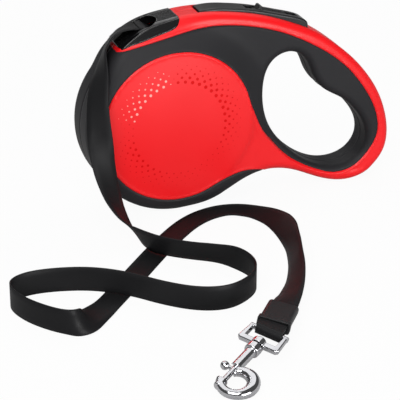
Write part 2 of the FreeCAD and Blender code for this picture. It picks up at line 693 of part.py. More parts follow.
route = [
    ((-20.0, 0.0, 117.4), (0.0, -1.0, 0.0)),
    ((-27.5, -0.3, 117.0), (0.0, -0.97, 0.2)),
    ((-35.0, -0.8, 113.5), (-0.17, -0.93, 0.33)),
    ((-40.8, -2.5, 106.0), (-0.34, -0.94, 0.0)),
    ((-44.3, -7.5, 97.5), (0.0, -1.0, 0.0)),
    ((-48.2, -14.5, 89.0), (0.41, -0.91, 0.0)),
    ((-51.3, -21.0, 79.0), (0.64, -0.77, 0.0)),
    ((-52.4, -26.0, 67.5), (0.82, -0.57, 0.0)),
    ((-52.3, -29.5, 55.5), (0.98, -0.17, 0.0)),
    ((-51.7, -32.5, 43.5), (0.98, 0.21, 0.0)),
    ((-49.8, -37.5, 30.5), (0.88, 0.41, -0.2)),
    ((-46.5, -44.0, 19.0), (0.7, 0.5, -0.45)),
    ((-42.0, -52.5, 11.0), (0.5, 0.5, -0.65)),
    ((-38.5, -62.5, 8.8), (0.3, 0.25, -0.92)),
    ((-33.5, -73.5, 8.8), (0.0, 0.4, -0.91)),
    ((-19.0, -86.0, 8.5), (0.0, 0.4, -0.91)),
    ((-3.0, -94.5, 8.0), (0.1, 0.3, -0.95)),
    ((6.5, -105.0, 7.8), (0.0, 0.0, -1.0)),
    ((10.0, -118.0, 7.7), (0.0, 0.0, -1.0)),
    ((7.0, -131.0, 7.7), (0.0, 0.0, -1.0)),
    ((-2.0, -140.5, 7.7), (0.0, 0.0, -1.0)),
    ((-16.0, -147.0, 7.7), (0.0, 0.0, -1.0)),
    ((-32.0, -143.0, 7.7), (0.0, 0.0, -1.0)),
    ((-48.0, -130.5, 8.0), (0.0, 0.0, -1.0)),
    ((-63.0, -114.5, 8.9), (0.0, 0.0, -1.0)),
    ((-80.0, -102.0, 8.9), (0.0, 0.0, -1.0)),
    ((-98.0, -94.5, 8.0), (0.0, 0.0, -1.0)),
    ((-115.0, -92.5, 7.7), (0.0, 0.0, -1.0)),
    ((-126.5, -97.5, 7.7), (0.0, 0.0, -1.0)),
    ((-129.0, -107.0, 7.7), (0.0, 0.0, -1.0)),
    ((-125.0, -121.0, 7.7), (0.0, 0.0, -1.0)),
    ((-116.0, -135.0, 7.7), (0.0, 0.0, -1.0)),
    ((-106.5, -145.5, 8.2), (0.1, -0.1, -1.0)),
    ((-97.0, -144.5, 6.6), (0.4, -0.4, -0.8)),
    ((-89.0, -133.5, 3.3), (0.7, -0.65, -0.3)),
    ((-77.0, -119.5, 0.8), (0.72, -0.7, 0.0)),
    ((-62.0, -102.5, 0.6), (0.72, -0.7, 0.0)),
    ((-46.0, -84.0, 0.6), (0.75, -0.66, 0.0)),
    ((-31.0, -67.0, 0.6), (0.74, -0.67, 0.0)),
    ((-16.0, -51.0, 0.6), (0.7, -0.71, 0.0)),
    ((-1.0, -37.0, 0.6), (0.6, -0.8, 0.0)),
    ((14.0, -28.5, 0.6), (0.3, -0.95, 0.0)),
    ((30.0, -26.5, 0.7), (-0.1, -1.0, 0.0)),
    ((43.0, -36.0, 1.3), (-0.8, -0.6, -0.08)),
    ((50.0, -52.0, 3.3), (-0.94, -0.1, -0.34)),
    ((49.5, -71.0, 5.5), (-0.76, 0.1, -0.64)),
    ((45.0, -92.0, 7.1), (-0.48, 0.14, -0.87)),
    ((38.5, -112.0, 7.1), (-0.48, 0.16, -0.87)),
    ((31.0, -131.0, 5.9), (-0.63, 0.3, -0.71)),
    ((21.5, -147.0, 5.0), (-0.78, 0.45, -0.42)),
    ((14.0, -158.0, 6.4), (-0.82, 0.55, -0.1)),
    ((7.5, -168.0, 8.0), (-0.8, 0.58, 0.13)),
]


def tape_path():
    points = [V(p[0] + drum_centre.x, p[1], p[2]) for p, w in route]
    sides = [V(*w) for p, w in route]
    return points, sides


def bend_radius(before, corner, after):
    """The radius that a bend's two runs leave room for."""
    a, b = before - corner, after - corner
    half_turn = (math.pi - a.getAngle(b)) / 2
    return 0.45 * min(a.Length, b.Length) / math.tan(half_turn)


def tape_stations():
    """Places along the tape with its width direction: straight runs with tangent arcs between."""
    points, sides = tape_path()
    stations = [(points[0], sides[0])]
    radii = []
    for k in range(1, len(points) - 1):
        before, corner, after = points[k - 1], points[k], points[k + 1]
        into, out = corner - before, after - corner
        radius = bend_radius(before, corner, after)
        radii.append(radius)
        reach = 0.45 * min(into.Length, out.Length)
        into.normalize()
        out.normalize()
        turn = into.getAngle(out)
        steps = max(1, int(math.degrees(turn) / 9), int(radius * turn / 3))
        start = corner - into * reach
        inward = out - into * math.cos(turn)
        inward.normalize()
        for j in range(steps + 1):
            a = turn * j / steps
            place = start + into * (radius * math.sin(a)) + inward * (radius * (1 - math.cos(a)))
            stations.append((place, sides[k]))
    stations.append((points[-1], sides[-1]))
    print("tape bend radii", [round(r, 1) for r in radii])
    return spread(stations)


def spread(stations):
    """Turns the width evenly between the runs' middles instead of at the bends."""
    sides = [w for p, w in stations]
    for turn in range(6):
        mixed = [sides[0]]
        for k in range(1, len(sides) - 1):
            mixed.append(sides[k - 1] * 0.25 + sides[k] * 0.5 + sides[k + 1] * 0.25)
        sides = mixed + [sides[-1]]
    return [(stations[k][0], sides[k]) for k in range(len(stations))]


def band(stations, width, thick):
    """A flat band through the stations, as a closed skin of plane triangles."""
    rings = []
    count = len(stations)
    for k, (place, side) in enumerate(stations):
        ahead = stations[min(k + 1, count - 1)][0] - stations[max(k - 1, 0)][0]
        ahead.normalize()
        across = side - ahead * side.dot(ahead)
        across.normalize()
        up = ahead.cross(across)
        ring_points = []
        for a, b in ((-1, -1), (1, -1), (1, 1), (-1, 1)):
            ring_points.append(place + across * (a * width / 2) + up * (b * thick / 2))
        rings.append(ring_points)
    faces = []

    def triangle(p, q, r):
        faces.append(Part.Face(Part.makePolygon([p, q, r, p])))

    for low, high in zip(rings[:-1], rings[1:]):
        for j, i in ((0, 1), (1, 2)):
            triangle(low[j], low[i], high[i])
            triangle(low[j], high[i], high[j])
        for j, i in ((2, 3), (3, 0)):
            triangle(low[j], low[i], high[j])
            triangle(low[i], high[i], high[j])
    for end in (rings[0], rings[-1]):
        triangle(end[0], end[1], end[2])
        triangle(end[0], end[2], end[3])
    solid = Part.Solid(Part.Shell(faces))
    if solid.Volume < 0:
        solid.reverse()
    return solid


def make_tape():
    """The free stretch, from the mouth to the sleeve, lying in loops on the floor."""
    stations = tape_stations()
    length = sum((b[0] - a[0]).Length for a, b in zip(stations[:-1], stations[1:]))
    solid = band(stations, tape_width, tape_thick)
    print("tape length", round(length, 1), "volume", round(solid.Volume, 1), "of",
          round(length * tape_width * tape_thick, 1), "lowest", round(solid.BoundBox.ZMin, 3))
    return solid


def make_tape_lead():
    """The stretch inside the casing, which leaves the wound tape and climbs to the mouth."""
    r = coil_radius + 0.1 + tape_thick / 2
    mouth_end = V(route[0][0][0], 0, route[0][0][2] - drum_radius)
    bend = V(roller_x + 1.5, 0, mouth_end.z + 0.1)
    distance = math.hypot(bend.x, bend.z)
    angle = math.degrees(math.atan2(bend.z, bend.x)) - math.degrees(math.acos(r / distance))
    stations = [(polar(r, angle - 6.0 * k), V(0, -1, 0)) for k in range(5, -1, -1)]
    leaving = stations[-1][0]
    middle = (leaving + bend) * 0.5
    end = mouth_end + unit(bend - mouth_end) * lead_gap
    stations += [(middle, V(0, -1, 0)), (bend, V(0, -1, 0)), (end, V(0, -1, 0))]
    return band(stations, tape_width, tape_thick)


# ---- sleeve, eye and hook -----------------------------------------------------------------

def unit(v):
    v = V(v.x, v.y, v.z)
    v.normalize()
    return v


def frame_at(origin, axis, side):
    """Places a shape built with X along the axis and Y to the side."""
    u = unit(axis)
    v = unit(side - u * side.dot(u))
    n = u.cross(v)
    m = FreeCAD.Matrix(u.x, v.x, n.x, origin.x, u.y, v.y, n.y, origin.y,
                       u.z, v.z, n.z, origin.z, 0, 0, 0, 1)
    return FreeCAD.Placement(m)


def hook_side(roll):
    """The direction of the hook's bulge, leaned towards the floor by the roll."""
    u = unit(hook_axis)
    level = unit(V(0, 0, 1).cross(u))
    face = unit(V(0, 0, 1) - u * u.z)
    a = math.radians(roll)
    return level * math.cos(a) - face * math.sin(a)


def placed(shape, origin, axis, side):
    shape.Placement = frame_at(origin, axis, side).multiply(shape.Placement)
    return shape


def along_x(radius, x0, x1, y=0.0, z=0.0):
    return Part.makeCylinder(radius, x1 - x0, V(x0, y, z), V(1, 0, 0))


def make_swivel_eye():
    """The strap's eye: a flat loop round a window, with a bored boss at the hook's end."""
    bar_x = -eye_depth + eye_bar / 2
    corner = 1.4
    loop = [V(bar_x, -eye_rear_half, 0), V(-corner, -eye_half, 0), V(0, corner - eye_half, 0),
            V(0, eye_half - corner, 0), V(-corner, eye_half, 0), V(bar_x, eye_rear_half, 0)]
    plate = Part.Face(Part.makePolygon(loop + loop[:1])).extrude(V(0, 0, eye_bar))
    plate.translate(V(0, 0, -eye_bar / 2))
    rims = [e for e in plate.Edges if abs(e.CenterOfMass.z) > eye_bar / 2 - 0.01]
    plate = plate.makeFillet(0.9, rims)
    window = box(-eye_depth - 1, -eye_front_bar, -eye_window_half, eye_window_half, -5, 5)
    bar = Part.makeCylinder(eye_bar / 2, 2 * eye_rear_half, V(bar_x, -eye_rear_half, 0),
                            V(0, 1, 0))
    boss = along_x(eye_boss_radius, -eye_front_bar, 0.4)
    bore = along_x(stud_radius + run_gap, -eye_front_bar - 1, 2)
    eye = plate.cut(window).fuse([bar, boss]).cut(bore)
    return placed(eye, hook_point, hook_axis, hook_side(eye_roll))


def make_swivel_stud():
    """Turns in the eye: a head in the window, and a shank fixed in the hook's collar."""
    head = along_x(stud_head_radius, -eye_front_bar - 1.5, -eye_front_bar - 0.1)
    shank = along_x(stud_radius, -eye_front_bar - 0.1, stud_depth)
    return placed(head.fuse(shank), hook_point, hook_axis, hook_side(hook_roll))


def ring_pipe():
    """The hook's round wire bent to an oval."""
    oval = Part.Ellipse(V(ring_s, ring_t, 0), ring_a, ring_b)
    path = Part.Wire([oval.toShape()])
    start = V(ring_s + ring_a, ring_t, 0)
    section = Part.Wire([Part.Circle(start, V(0, 1, 0), ring_wire).toShape()])
    return path.makePipeShell([section], True, True)


def make_snap_hook():
    """Collar, hollow shank and the open oval ring, with the bolt's seat at its far end."""
    gate = box(shank_end, seat_start, -8, ring_cut, -5, 5)
    ring_body = ring_pipe().cut(gate)
    collar = along_x(collar_radius, shank_start, collar_end)
    collar = collar.makeFillet(0.8, [e for e in collar.Edges if not e.isClosed() or e.Length > 20])
    shank = along_x(shank_radius, collar_end - 1, shank_end)
    seat = along_x(seat_radius, seat_start, seat_end)
    seat = seat.makeFillet(1.2, [e for e in seat.Edges if abs(e.CenterOfMass.x - seat_end) < 0.01])
    hook = ring_body.fuse([collar, shank, seat])
    bore = bolt_radius + bolt_gap
    catch = seat_start + bolt_catch + 0.2
    hook = hook.cut([along_x(stud_radius, 0, stud_depth), along_x(bore, spring_seat, shank_end + 9),
                     along_x(bore, seat_start - 1, catch)])
    half = knob_stem + 0.25
    slot = box(knob_s - bolt_travel - half, shank_end + 1, -6, 0, -half, half)
    return placed(hook.cut(slot), hook_point, hook_axis, hook_side(hook_roll))


def make_snap_bolt():
    """The gate: a round bolt with a side stem and a ball for the thumb."""
    tip = seat_start + bolt_catch
    bolt = along_x(bolt_radius, bolt_rear, tip)
    bolt = bolt.makeFillet(0.5, [e for e in bolt.Edges if abs(e.CenterOfMass.x - tip) < 0.01])
    stem = Part.makeCylinder(knob_stem, knob_reach, V(knob_s, 0, 0), V(0, -1, 0))
    ball = Part.makeSphere(knob_radius, V(knob_s, -knob_reach, 0))
    return placed(bolt.fuse([stem, ball]), hook_point, hook_axis, hook_side(hook_roll))


def make_bolt_spring():
    """Closes the gate: a coil between the blind end of the shank and the bolt."""
    radius = bolt_radius - 0.3
    pitch = 1.4
    free = bolt_rear - spring_seat - 0.1
    path = Part.makeHelix(pitch, free - 2 * bolt_wire, radius)
    section = Part.Wire([Part.Circle(V(radius, 0, 0), V(0, 1, 0), bolt_wire).toShape()])
    coil = Part.Wire(path.Edges).makePipeShell([section], True, True)
    coil.rotate(V(0, 0, 0), V(0, 1, 0), 90)
    coil.translate(V(spring_seat + bolt_wire + 0.05, 0, 0))
    return placed(coil, hook_point, hook_axis, hook_side(hook_roll))


def sleeve_frame():
    """Where the tape enters the sleeve, its direction, the bar's centre and the bar's line."""
    side = hook_side(eye_roll)
    bar = hook_point + unit(hook_axis) * (-eye_depth + eye_bar / 2)
    entry = tape_path()[0][-1]
    ahead = unit(bar - entry)
    across = unit(side - ahead * side.dot(ahead))
    return entry, ahead, across, (bar - entry).Length


def make_tape_sleeve():
    """The moulded clasp over the folded end of the tape, with a raised lip at its front."""
    entry, ahead, across, reach = sleeve_frame()
    end = reach - sleeve_bar_gap
    wide, thick = sleeve_half_width, sleeve_half_thick
    body_block = box(0, end, -wide, wide, -thick, thick)
    rims = [e for e in body_block.Edges if e.Length > end - 0.1 and abs(e.tangentAt(0).x) > 0.9]
    body_block = body_block.makeFillet(2.2, rims)
    tall = thick + sleeve_lip_rise
    lip = box(end - sleeve_lip, end, -wide - 0.5, wide + 0.5, -tall, tall)
    lip = lip.makeFillet(1.2, [e for e in lip.Edges if abs(e.Length - sleeve_lip) < 0.01])
    slot = tape_width / 2 + 0.1
    inside = box(2.0, end - 1.5, -slot, slot, -tape_thick - 1.1, tape_thick + 1.1)
    entry_slot = box(-1, 3, -slot, slot, -tape_thick / 2, tape_thick / 2)
    exit_slot = box(end - 3, end + 1, -slot, slot, -loop_mouth, loop_mouth)
    sleeve = body_block.fuse(lip).cut([inside, entry_slot, exit_slot])
    return placed(sleeve, entry, ahead, across)


def teardrop(x0, half, centre, radius):
    """A straight-sided loop outline that starts this high and runs round a circle."""
    start = V(x0, 0, half)
    to = V(centre, 0, 0) - start
    lean = math.atan2(to.z, to.x) + math.asin(radius / to.Length)
    touch = V(centre - radius * math.sin(lean), 0, radius * math.cos(lean))
    low = V(touch.x, 0, -touch.z)
    arc = Part.Arc(touch, V(centre + radius, 0, 0), low)
    sides = Part.makePolygon([low, V(x0, 0, -half), start, touch])
    return Part.Wire(sides.Edges + [arc.toShape()])


def slanted(wire, skew, half):
    """The XZ wire as a solid of this half width whose ends follow the eye's slanting bar."""
    reach = V(half * skew, half, 0)
    face = Part.Face(wire)
    face.translate(reach * -1)
    return face.extrude(reach * 2)


def make_tape_end_loop():
    """The tape's folded end: two layers from inside the sleeve, round the eye's bar."""
    entry, ahead, across, reach = sleeve_frame()
    end = reach - sleeve_bar_gap
    start = end - loop_reach
    bar_line = hook_side(eye_roll)
    square = bar_line.dot(across)
    skew = bar_line.dot(ahead) / square
    bend = (eye_bar / 2 + loop_gap) / square
    outer = teardrop(start, tape_thick + 0.02, reach, bend + tape_thick)
    inner = teardrop(end - 1.0, 0.02, reach, bend)
    half = tape_width / 2
    loop = slanted(outer, skew, half).cut(slanted(inner, skew, half + 1))
    return placed(loop, entry, ahead, across)


# ---- export -------------------------------------------------------------------------------

def casing_parts():
    outer = body()
    right = outer.common(half_space(-1))
    overmould = prism(black_region(), -40, 1).cut(body(skin))
    wall_solid = shell_wall(right, overmould, body(wall))
    skin_solid = right.common(overmould).cut(nozzle_block())
    room = body(wall - 0.7)
    middle, across = V(0, 0, 0), V(0, 1, 0)
    return {
        "shell_right": make_shell(-1, wall_solid, room),
        "shell_left": make_shell(1, wall_solid.mirror(middle, across), room),
        "grip_right": make_grip(-1, skin_solid),
        "grip_left": make_grip(1, skin_solid.mirror(middle, across)),
        "nozzle": make_nozzle(outer),
    }


def inner_parts():
    return {
        "guide_roller": make_guide_roller(),
        "roller_pin": make_roller_pin(),
        "case_screws": make_case_screws(),
        "spindle": make_spindle(),
        "reel": make_reel(),
        "reel_flange": make_reel_flange(),
        "reel_bushes": make_reel_bushes(),
        "spring_cap": make_spring_cap(),
        "power_spring": make_power_spring(),
        "tape_coil": make_tape_coil(),
        "tape_lead": make_tape_lead(),
        "brake_button": make_brake_button(),
        "brake_pivot_pin": make_brake_pivot_pin(),
        "brake_spring": make_brake_spring(),
        "brake_pawl": make_brake_pawl(),
        "pawl_pin": make_pawl_pin(),
        "lock_slider": make_lock_slider(),
    }


def free_parts():
    return {
        "tape": make_tape(),
        "tape_sleeve": make_tape_sleeve(),
        "tape_end_loop": make_tape_end_loop(),
        "swivel_eye": make_swivel_eye(),
        "swivel_stud": make_swivel_stud(),
        "snap_hook": make_snap_hook(),
        "snap_bolt": make_snap_bolt(),
        "bolt_spring": make_bolt_spring(),
    }


def main():
    os.makedirs("parts", exist_ok=True)
    parts = {}
    for group in (inner_parts(), casing_parts()):
        for name, shape in group.items():
            shape.translate(drum_centre)
            parts[name] = shape
    parts.update(free_parts())
    for name in sorted(parts):
        shape = parts[name]
        shape.exportStep(os.path.join("parts", name + ".step"))
        bounds = shape.BoundBox
        print(name, shape.isValid(), len(shape.Solids), round(shape.Volume, 1),
              [round(value, 1) for value in (bounds.XMin, bounds.YMin, bounds.ZMin,
                                             bounds.XMax, bounds.YMax, bounds.ZMax)])


main()
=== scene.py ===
import bmesh
import bpy
import json
import math
import numpy as np
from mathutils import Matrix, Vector
from mathutils.geometry import delaunay_2d_cdt


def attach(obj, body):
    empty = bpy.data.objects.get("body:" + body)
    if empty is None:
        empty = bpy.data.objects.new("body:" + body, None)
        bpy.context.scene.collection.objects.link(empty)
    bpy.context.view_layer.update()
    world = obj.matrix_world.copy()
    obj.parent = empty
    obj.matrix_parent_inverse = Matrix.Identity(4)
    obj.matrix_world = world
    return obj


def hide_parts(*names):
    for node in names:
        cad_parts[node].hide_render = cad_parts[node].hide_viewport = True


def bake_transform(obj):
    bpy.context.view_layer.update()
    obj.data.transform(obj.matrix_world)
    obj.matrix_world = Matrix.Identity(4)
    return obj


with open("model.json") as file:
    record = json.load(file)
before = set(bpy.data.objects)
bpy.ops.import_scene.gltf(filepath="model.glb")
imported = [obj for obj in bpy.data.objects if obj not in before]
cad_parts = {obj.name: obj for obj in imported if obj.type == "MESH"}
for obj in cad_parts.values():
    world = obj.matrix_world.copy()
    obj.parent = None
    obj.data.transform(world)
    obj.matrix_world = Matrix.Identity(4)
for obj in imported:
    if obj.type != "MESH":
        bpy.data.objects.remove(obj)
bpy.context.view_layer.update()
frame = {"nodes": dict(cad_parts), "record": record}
MM = 0.001
DRUM = Vector((-44.35, 0.0, 56.5))     # the drum's centre, in mm
SHARP = 50                             # degrees from which an edge is shaded sharp


def added(name, data):
    """A new object with the data, in the scene."""
    obj = bpy.data.objects.new(name, data)
    bpy.context.scene.collection.objects.link(obj)
    return obj


def smooth_mesh(name, verts, faces, material):
    """A smoothly shaded mesh with one material."""
    mesh = bpy.data.meshes.new(name)
    mesh.from_pydata(verts, [], faces)
    mesh.polygons.foreach_set("use_smooth", [True] * len(mesh.polygons))
    mesh.materials.append(material)
    return mesh


# ---- materials ----------------------------------------------------------------------------

NOISE_LOW, NOISE_HIGH = 0.3, 0.7       # the span that noise mostly stays in


def new_material(name):
    """An empty node material with its Principled shader wired to the output."""
    mat = bpy.data.materials.new(name)
    mat.use_nodes = True
    tree = mat.node_tree
    tree.nodes.clear()
    out = tree.nodes.new("ShaderNodeOutputMaterial")
    bsdf = tree.nodes.new("ShaderNodeBsdfPrincipled")
    tree.links.new(bsdf.outputs["BSDF"], out.inputs["Surface"])
    return mat, tree, bsdf


def noise(tree, scale, detail=2.0, stretch=None):
    """Noise in the object's own coordinates, stretched along its axes if asked."""
    coords = tree.nodes.new("ShaderNodeTexCoord")
    tex = tree.nodes.new("ShaderNodeTexNoise")
    tex.inputs["Scale"].default_value = scale
    tex.inputs["Detail"].default_value = detail
    if stretch:
        scaler = tree.nodes.new("ShaderNodeMapping")
        scaler.inputs["Scale"].default_value = stretch
        tree.links.new(coords.outputs["Object"], scaler.inputs["Vector"])
        tree.links.new(scaler.outputs["Vector"], tex.inputs["Vector"])
    else:
        tree.links.new(coords.outputs["Object"], tex.inputs["Vector"])
    return tex


def ramp(tree, source, low, high):
    """Noise turned into a drift from one colour to another."""
    node = tree.nodes.new("ShaderNodeValToRGB")
    node.color_ramp.elements[0].position = NOISE_LOW
    node.color_ramp.elements[1].position = NOISE_HIGH
    node.color_ramp.elements[0].color = (*low, 1.0)
    node.color_ramp.elements[1].color = (*high, 1.0)
    tree.links.new(source, node.inputs["Fac"])
    return node


def map_value(tree, source, low, high):
    """Noise turned into a drift from one value to another."""
    node = tree.nodes.new("ShaderNodeMapRange")
    node.inputs["From Min"].default_value = NOISE_LOW
    node.inputs["From Max"].default_value = NOISE_HIGH
    node.inputs["To Min"].default_value = low
    node.inputs["To Max"].default_value = high
    tree.links.new(source, node.inputs["Value"])
    return node.outputs["Result"]


def bump(tree, bsdf, source, strength, distance, edge=0.0):
    """A fine relief, on edges that look rounded to the radius edge."""
    node = tree.nodes.new("ShaderNodeBump")
    node.inputs["Strength"].default_value = strength
    node.inputs["Distance"].default_value = distance
    tree.links.new(source, node.inputs["Height"])
    if edge:
        rounded = tree.nodes.new("ShaderNodeBevel")
        rounded.samples = 6
        rounded.inputs["Radius"].default_value = edge
        tree.links.new(rounded.outputs["Normal"], node.inputs["Normal"])
    tree.links.new(node.outputs["Normal"], bsdf.inputs["Normal"])


def plastic(name, dark, light, rough, grain_depth=0.00003, coat=0.0, shine=0.3, edge=0.0):
    """A moulded surface: a faint colour drift, a roughness drift and a fine grain."""
    mat, tree, bsdf = new_material(name)
    broad = noise(tree, 14.0, 3.0)
    colour = ramp(tree, broad.outputs["Fac"], dark, light)
    tree.links.new(colour.outputs["Color"], bsdf.inputs["Base Color"])
    tree.links.new(map_value(tree, broad.outputs["Fac"], rough * 0.92, rough * 1.08),
                   bsdf.inputs["Roughness"])
    fine = noise(tree, 900.0, 2.0)
    bump(tree, bsdf, fine.outputs["Fac"], 0.25, grain_depth, edge)
    bsdf.inputs["Coat Weight"].default_value = coat
    bsdf.inputs["Coat Roughness"].default_value = 0.25
    bsdf.inputs["Specular IOR Level"].default_value = shine
    return mat


def metal(name, dark, light, rough, stretch=None, edge=0.0):
    """A metal whose colour and roughness drift a little; stretch draws the drift out."""
    mat, tree, bsdf = new_material(name)
    broad = noise(tree, 120.0, 3.0, stretch)
    colour = ramp(tree, broad.outputs["Fac"], dark, light)
    tree.links.new(colour.outputs["Color"], bsdf.inputs["Base Color"])
    tree.links.new(map_value(tree, broad.outputs["Fac"], rough * 0.8, rough * 1.25),
                   bsdf.inputs["Roughness"])
    bsdf.inputs["Metallic"].default_value = 1.0
    bump(tree, bsdf, broad.outputs["Fac"], 0.1, 0.00001, edge)
    return mat


def webbing(name):
    """Woven tape: fine ribs across it from the UV map, and a satin sheen."""
    mat, tree, bsdf = new_material(name)
    broad = noise(tree, 25.0, 3.0)
    colour = ramp(tree, broad.outputs["Fac"], (0.0080, 0.0080, 0.0088), (0.0110, 0.0110, 0.0118))
    tree.links.new(colour.outputs["Color"], bsdf.inputs["Base Color"])
    tree.links.new(map_value(tree, broad.outputs["Fac"], 0.44, 0.52), bsdf.inputs["Roughness"])
    uv = tree.nodes.new("ShaderNodeUVMap")
    uv.uv_map = "weave"
    ribs = tree.nodes.new("ShaderNodeTexWave")
    ribs.inputs["Scale"].default_value = 500.0
    ribs.inputs["Distortion"].default_value = 0.6
    tree.links.new(uv.outputs["UV"], ribs.inputs["Vector"])
    bump(tree, bsdf, ribs.outputs["Fac"], 0.18, 0.00005)
    bsdf.inputs["Specular IOR Level"].default_value = 0.14
    return mat


MATERIALS = {
    "red_shell": plastic("red plastic", (0.75, 0.005, 0.008), (0.79, 0.007, 0.011), 0.38,
                         coat=0.03, shine=0.34),
    # the pale pink of these dots is a painted highlight on red plastic dimples
    "dot_pale": plastic("dots painted highlight", (0.84, 0.28, 0.25), (0.88, 0.34, 0.31), 0.3),
    # the darker red of these dots is painted shade in the red plastic dimples
    "dot_painted_shade": plastic("deep dots", (0.58, 0.003, 0.004), (0.64, 0.004, 0.005), 0.3, shine=0.1),
    "soft_grip": plastic("soft grip", (0.0150, 0.0148, 0.0165), (0.0185, 0.0182, 0.020), 0.5,
                         shine=0.16),
    "gloss_black": plastic("gloss black", (0.003, 0.003, 0.0033), (0.0045, 0.0045, 0.005), 0.07,
                           grain_depth=0.000003, coat=0.5, shine=0.5, edge=0.0009),
    "button_black": plastic("button black", (0.010, 0.010, 0.011), (0.013, 0.013, 0.014), 0.3,
                            shine=0.45, edge=0.0007),
    "sleeve_black": plastic("sleeve black", (0.010, 0.010, 0.011), (0.013, 0.013, 0.014), 0.42,
                            edge=0.0009),
    "inner_grey": plastic("inner grey", (0.20, 0.20, 0.21), (0.26, 0.26, 0.27), 0.5),
    "bush_white": plastic("acetal", (0.68, 0.68, 0.65), (0.76, 0.76, 0.73), 0.4),
    "chrome": metal("chrome", (0.52, 0.52, 0.54), (0.60, 0.60, 0.62), 0.08,
                    edge=0.0004),
    "steel": metal("steel", (0.48, 0.48, 0.50), (0.60, 0.60, 0.62), 0.28, (1, 8, 1)),
    "spring_steel": metal("spring steel", (0.32, 0.32, 0.34), (0.42, 0.42, 0.45), 0.35),
    "tape_web": webbing("tape"),
}
slots = {s["node"]: s["material_slot"] for s in frame["record"]["subparts"]}
for node, obj in frame["nodes"].items():
    obj.data.materials.clear()
    obj.data.materials.append(MATERIALS[slots[node]])


# ---- casing -------------------------------------------------------------------------------
# Side view lines in mm from the drum's centre, and the half thickness over them.

DRUM_R, DISC_R, SHOULDER_R = 56.5, 47.6, 63.0      # the shoulder is thin by SHOULDER_R
HALF, THIN = 19.0, 12.0                 # half thickness at the drum and at the hand grip
CROWN, CROWN_R = 2.2, 48.5              # the dome's rise, and where it has come down
EDGE_ROUND, EDGE_ROUND_DRUM, HOLE_ROUND = 5.0, 8.0, 4.4
GROOVE, LIP, GROOVE_WIDTH, LIP_OFFSET = 0.5, 0.3, 0.45, 0.9
CHIN, FOOT = 145.0, 274.0               # degrees between which the outline is the drum's
JOIN, LEAVE = 16.0, 298.0               # degrees where the seam joins and leaves the disc
FRONT_TURN = (102.0, 170.0)             # degrees over which the shoulder gives way at the front
BOTTOM_TURN = (40.0, 62.0)              # and at the bottom, below the x axis
# the outline from the drum's bottom round the grip to the drum's front, and the grip's hole
OUTLINE = [
    (20.5, -54.3), (37.7, -46.8), (53.0, -41.0), (66.0, -40.6), (79.5, -44.0), (94.0, -50.6),
    (107.0, -55.3), (118.2, -56.45), (129.5, -53.7), (138.2, -46.8), (143.6, -38.0),
    (145.2, -27.0), (143.0, -12.8), (138.1, 0.2), (130.6, 12.6), (120.6, 24.6),
    (108.1, 35.9), (94.5, 45.6), (75.5, 54.6), (58.0, 60.8), (39.0, 65.0), (17.3, 67.2),
    (-5.3, 65.0), (-17.5, 61.8), (-29.0, 55.4), (-36.0, 49.4), (-41.6, 41.2),
]
HOLE = [
    (77.6, 35.4), (87.0, 29.2), (92.2, 18.0), (99.6, 8.2), (112.7, -0.2), (122.4, -10.0),
    (129.0, -21.8), (129.4, -32.0), (123.8, -40.5), (112.4, -45.0), (101.0, -44.2),
    (88.4, -38.6), (75.5, -27.9), (64.4, -13.8), (58.2, 2.5), (58.6, 19.5), (66.4, 32.7),
]
# the seam between red and black, along the spine and round the grip to the disc
SEAM = [
    (-47.0, 48.4), (-36.0, 49.6), (-29.0, 51.2), (-9.0, 55.4), (16.5, 59.2), (42.0, 57.4),
    (68.0, 50.3), (91.0, 38.9), (112.5, 23.0), (127.8, 3.9), (136.2, -15.0), (136.3, -27.5),
    (131.8, -36.2), (121.5, -46.2), (108.5, -49.0), (96.5, -45.6), (83.2, -38.6),
    (71.8, -29.7), (63.0, -19.6), (56.3, -10.9), (50.6, 0.6),
]
# the seam again where it leaves the disc, and the rear edge of the nozzle's saddle
BELLY = [(33.5, -37.7), (41.5, -35.9), (49.5, -36.3), (56.5, -38.6), (62.0, -43.5)]
SADDLE = [(-33.0, 51.6), (-28.0, 53.2), (-20.9, 55.1), (-12.1, 57.6), (-1.7, 60.4), (1.6, 62.1),
          (3.7, 65.6), (4.2, 69.0)]
SLOT = (16.5, 89.3, 6.8)                # the brake's slot: from, to, half width
SCREWS = [(-33.5, 46.6), (51.0, 33.0), (46.0, -35.5), (105.0, -50.8), (137.2, -24.0)]
WELL_R, WELL_FLOOR, WELL_STEPS = 2.9, 7.0, 48
# the belly's half thickness along x, and the line under which it applies
BELLY_HALF = [(0, 19), (18, 18.95), (36, 18.5), (50, 17.2), (62, 15.3), (74, 13.7), (84, 12.7),
              (96, 12.1), (110, 12)]
UNDER = [(40, 20), (45.5, 13)] + SEAM[:-7:-1] + [(110, -49)]
# the mesh: a staggered grid of loose places, and distances of the lines of places beside an edge
GRID, GRID_ROW = 1.9, 0.87
GRID_X, GRID_Z = (-58, 148), (-58, 70)
SEAM_ROWS = (0.3, 0.65, 1.2, 2.0)
EDGE_ROWS = (0.12, 0.45, 1.0, 1.8, 2.8)
FAR_ROWS = (4.0, 5.4, 7.0)
CLEAR_OF_ROWS, CLEAR_OF_EDGES, CLEAR_OF_SEAMS, CELL = 0.12, 0.6, 0.1, 0.25
# shares of the half thickness that a wall's rows have, and its rows at the parting groove
WALL_SHARES = (1.0, 0.8, 0.5, 0.2)
OUTER_PARTING = ((0.55, 0.0), (0.22, 0.22), (0.0, 0.3))
HOLE_PARTING = ((0.45, 0.0), (0.18, 0.16), (0.0, 0.22))
SLOT_DEPTH = 6.0
WELD_STEPS = 500                        # steps in a mm that merging tells apart


def around(radius, start, stop, steps):
    """Places on a circle from one angle to another, in degrees."""
    angles = np.radians(np.linspace(start, stop, steps))
    return np.column_stack([radius * np.cos(angles), radius * np.sin(angles)])


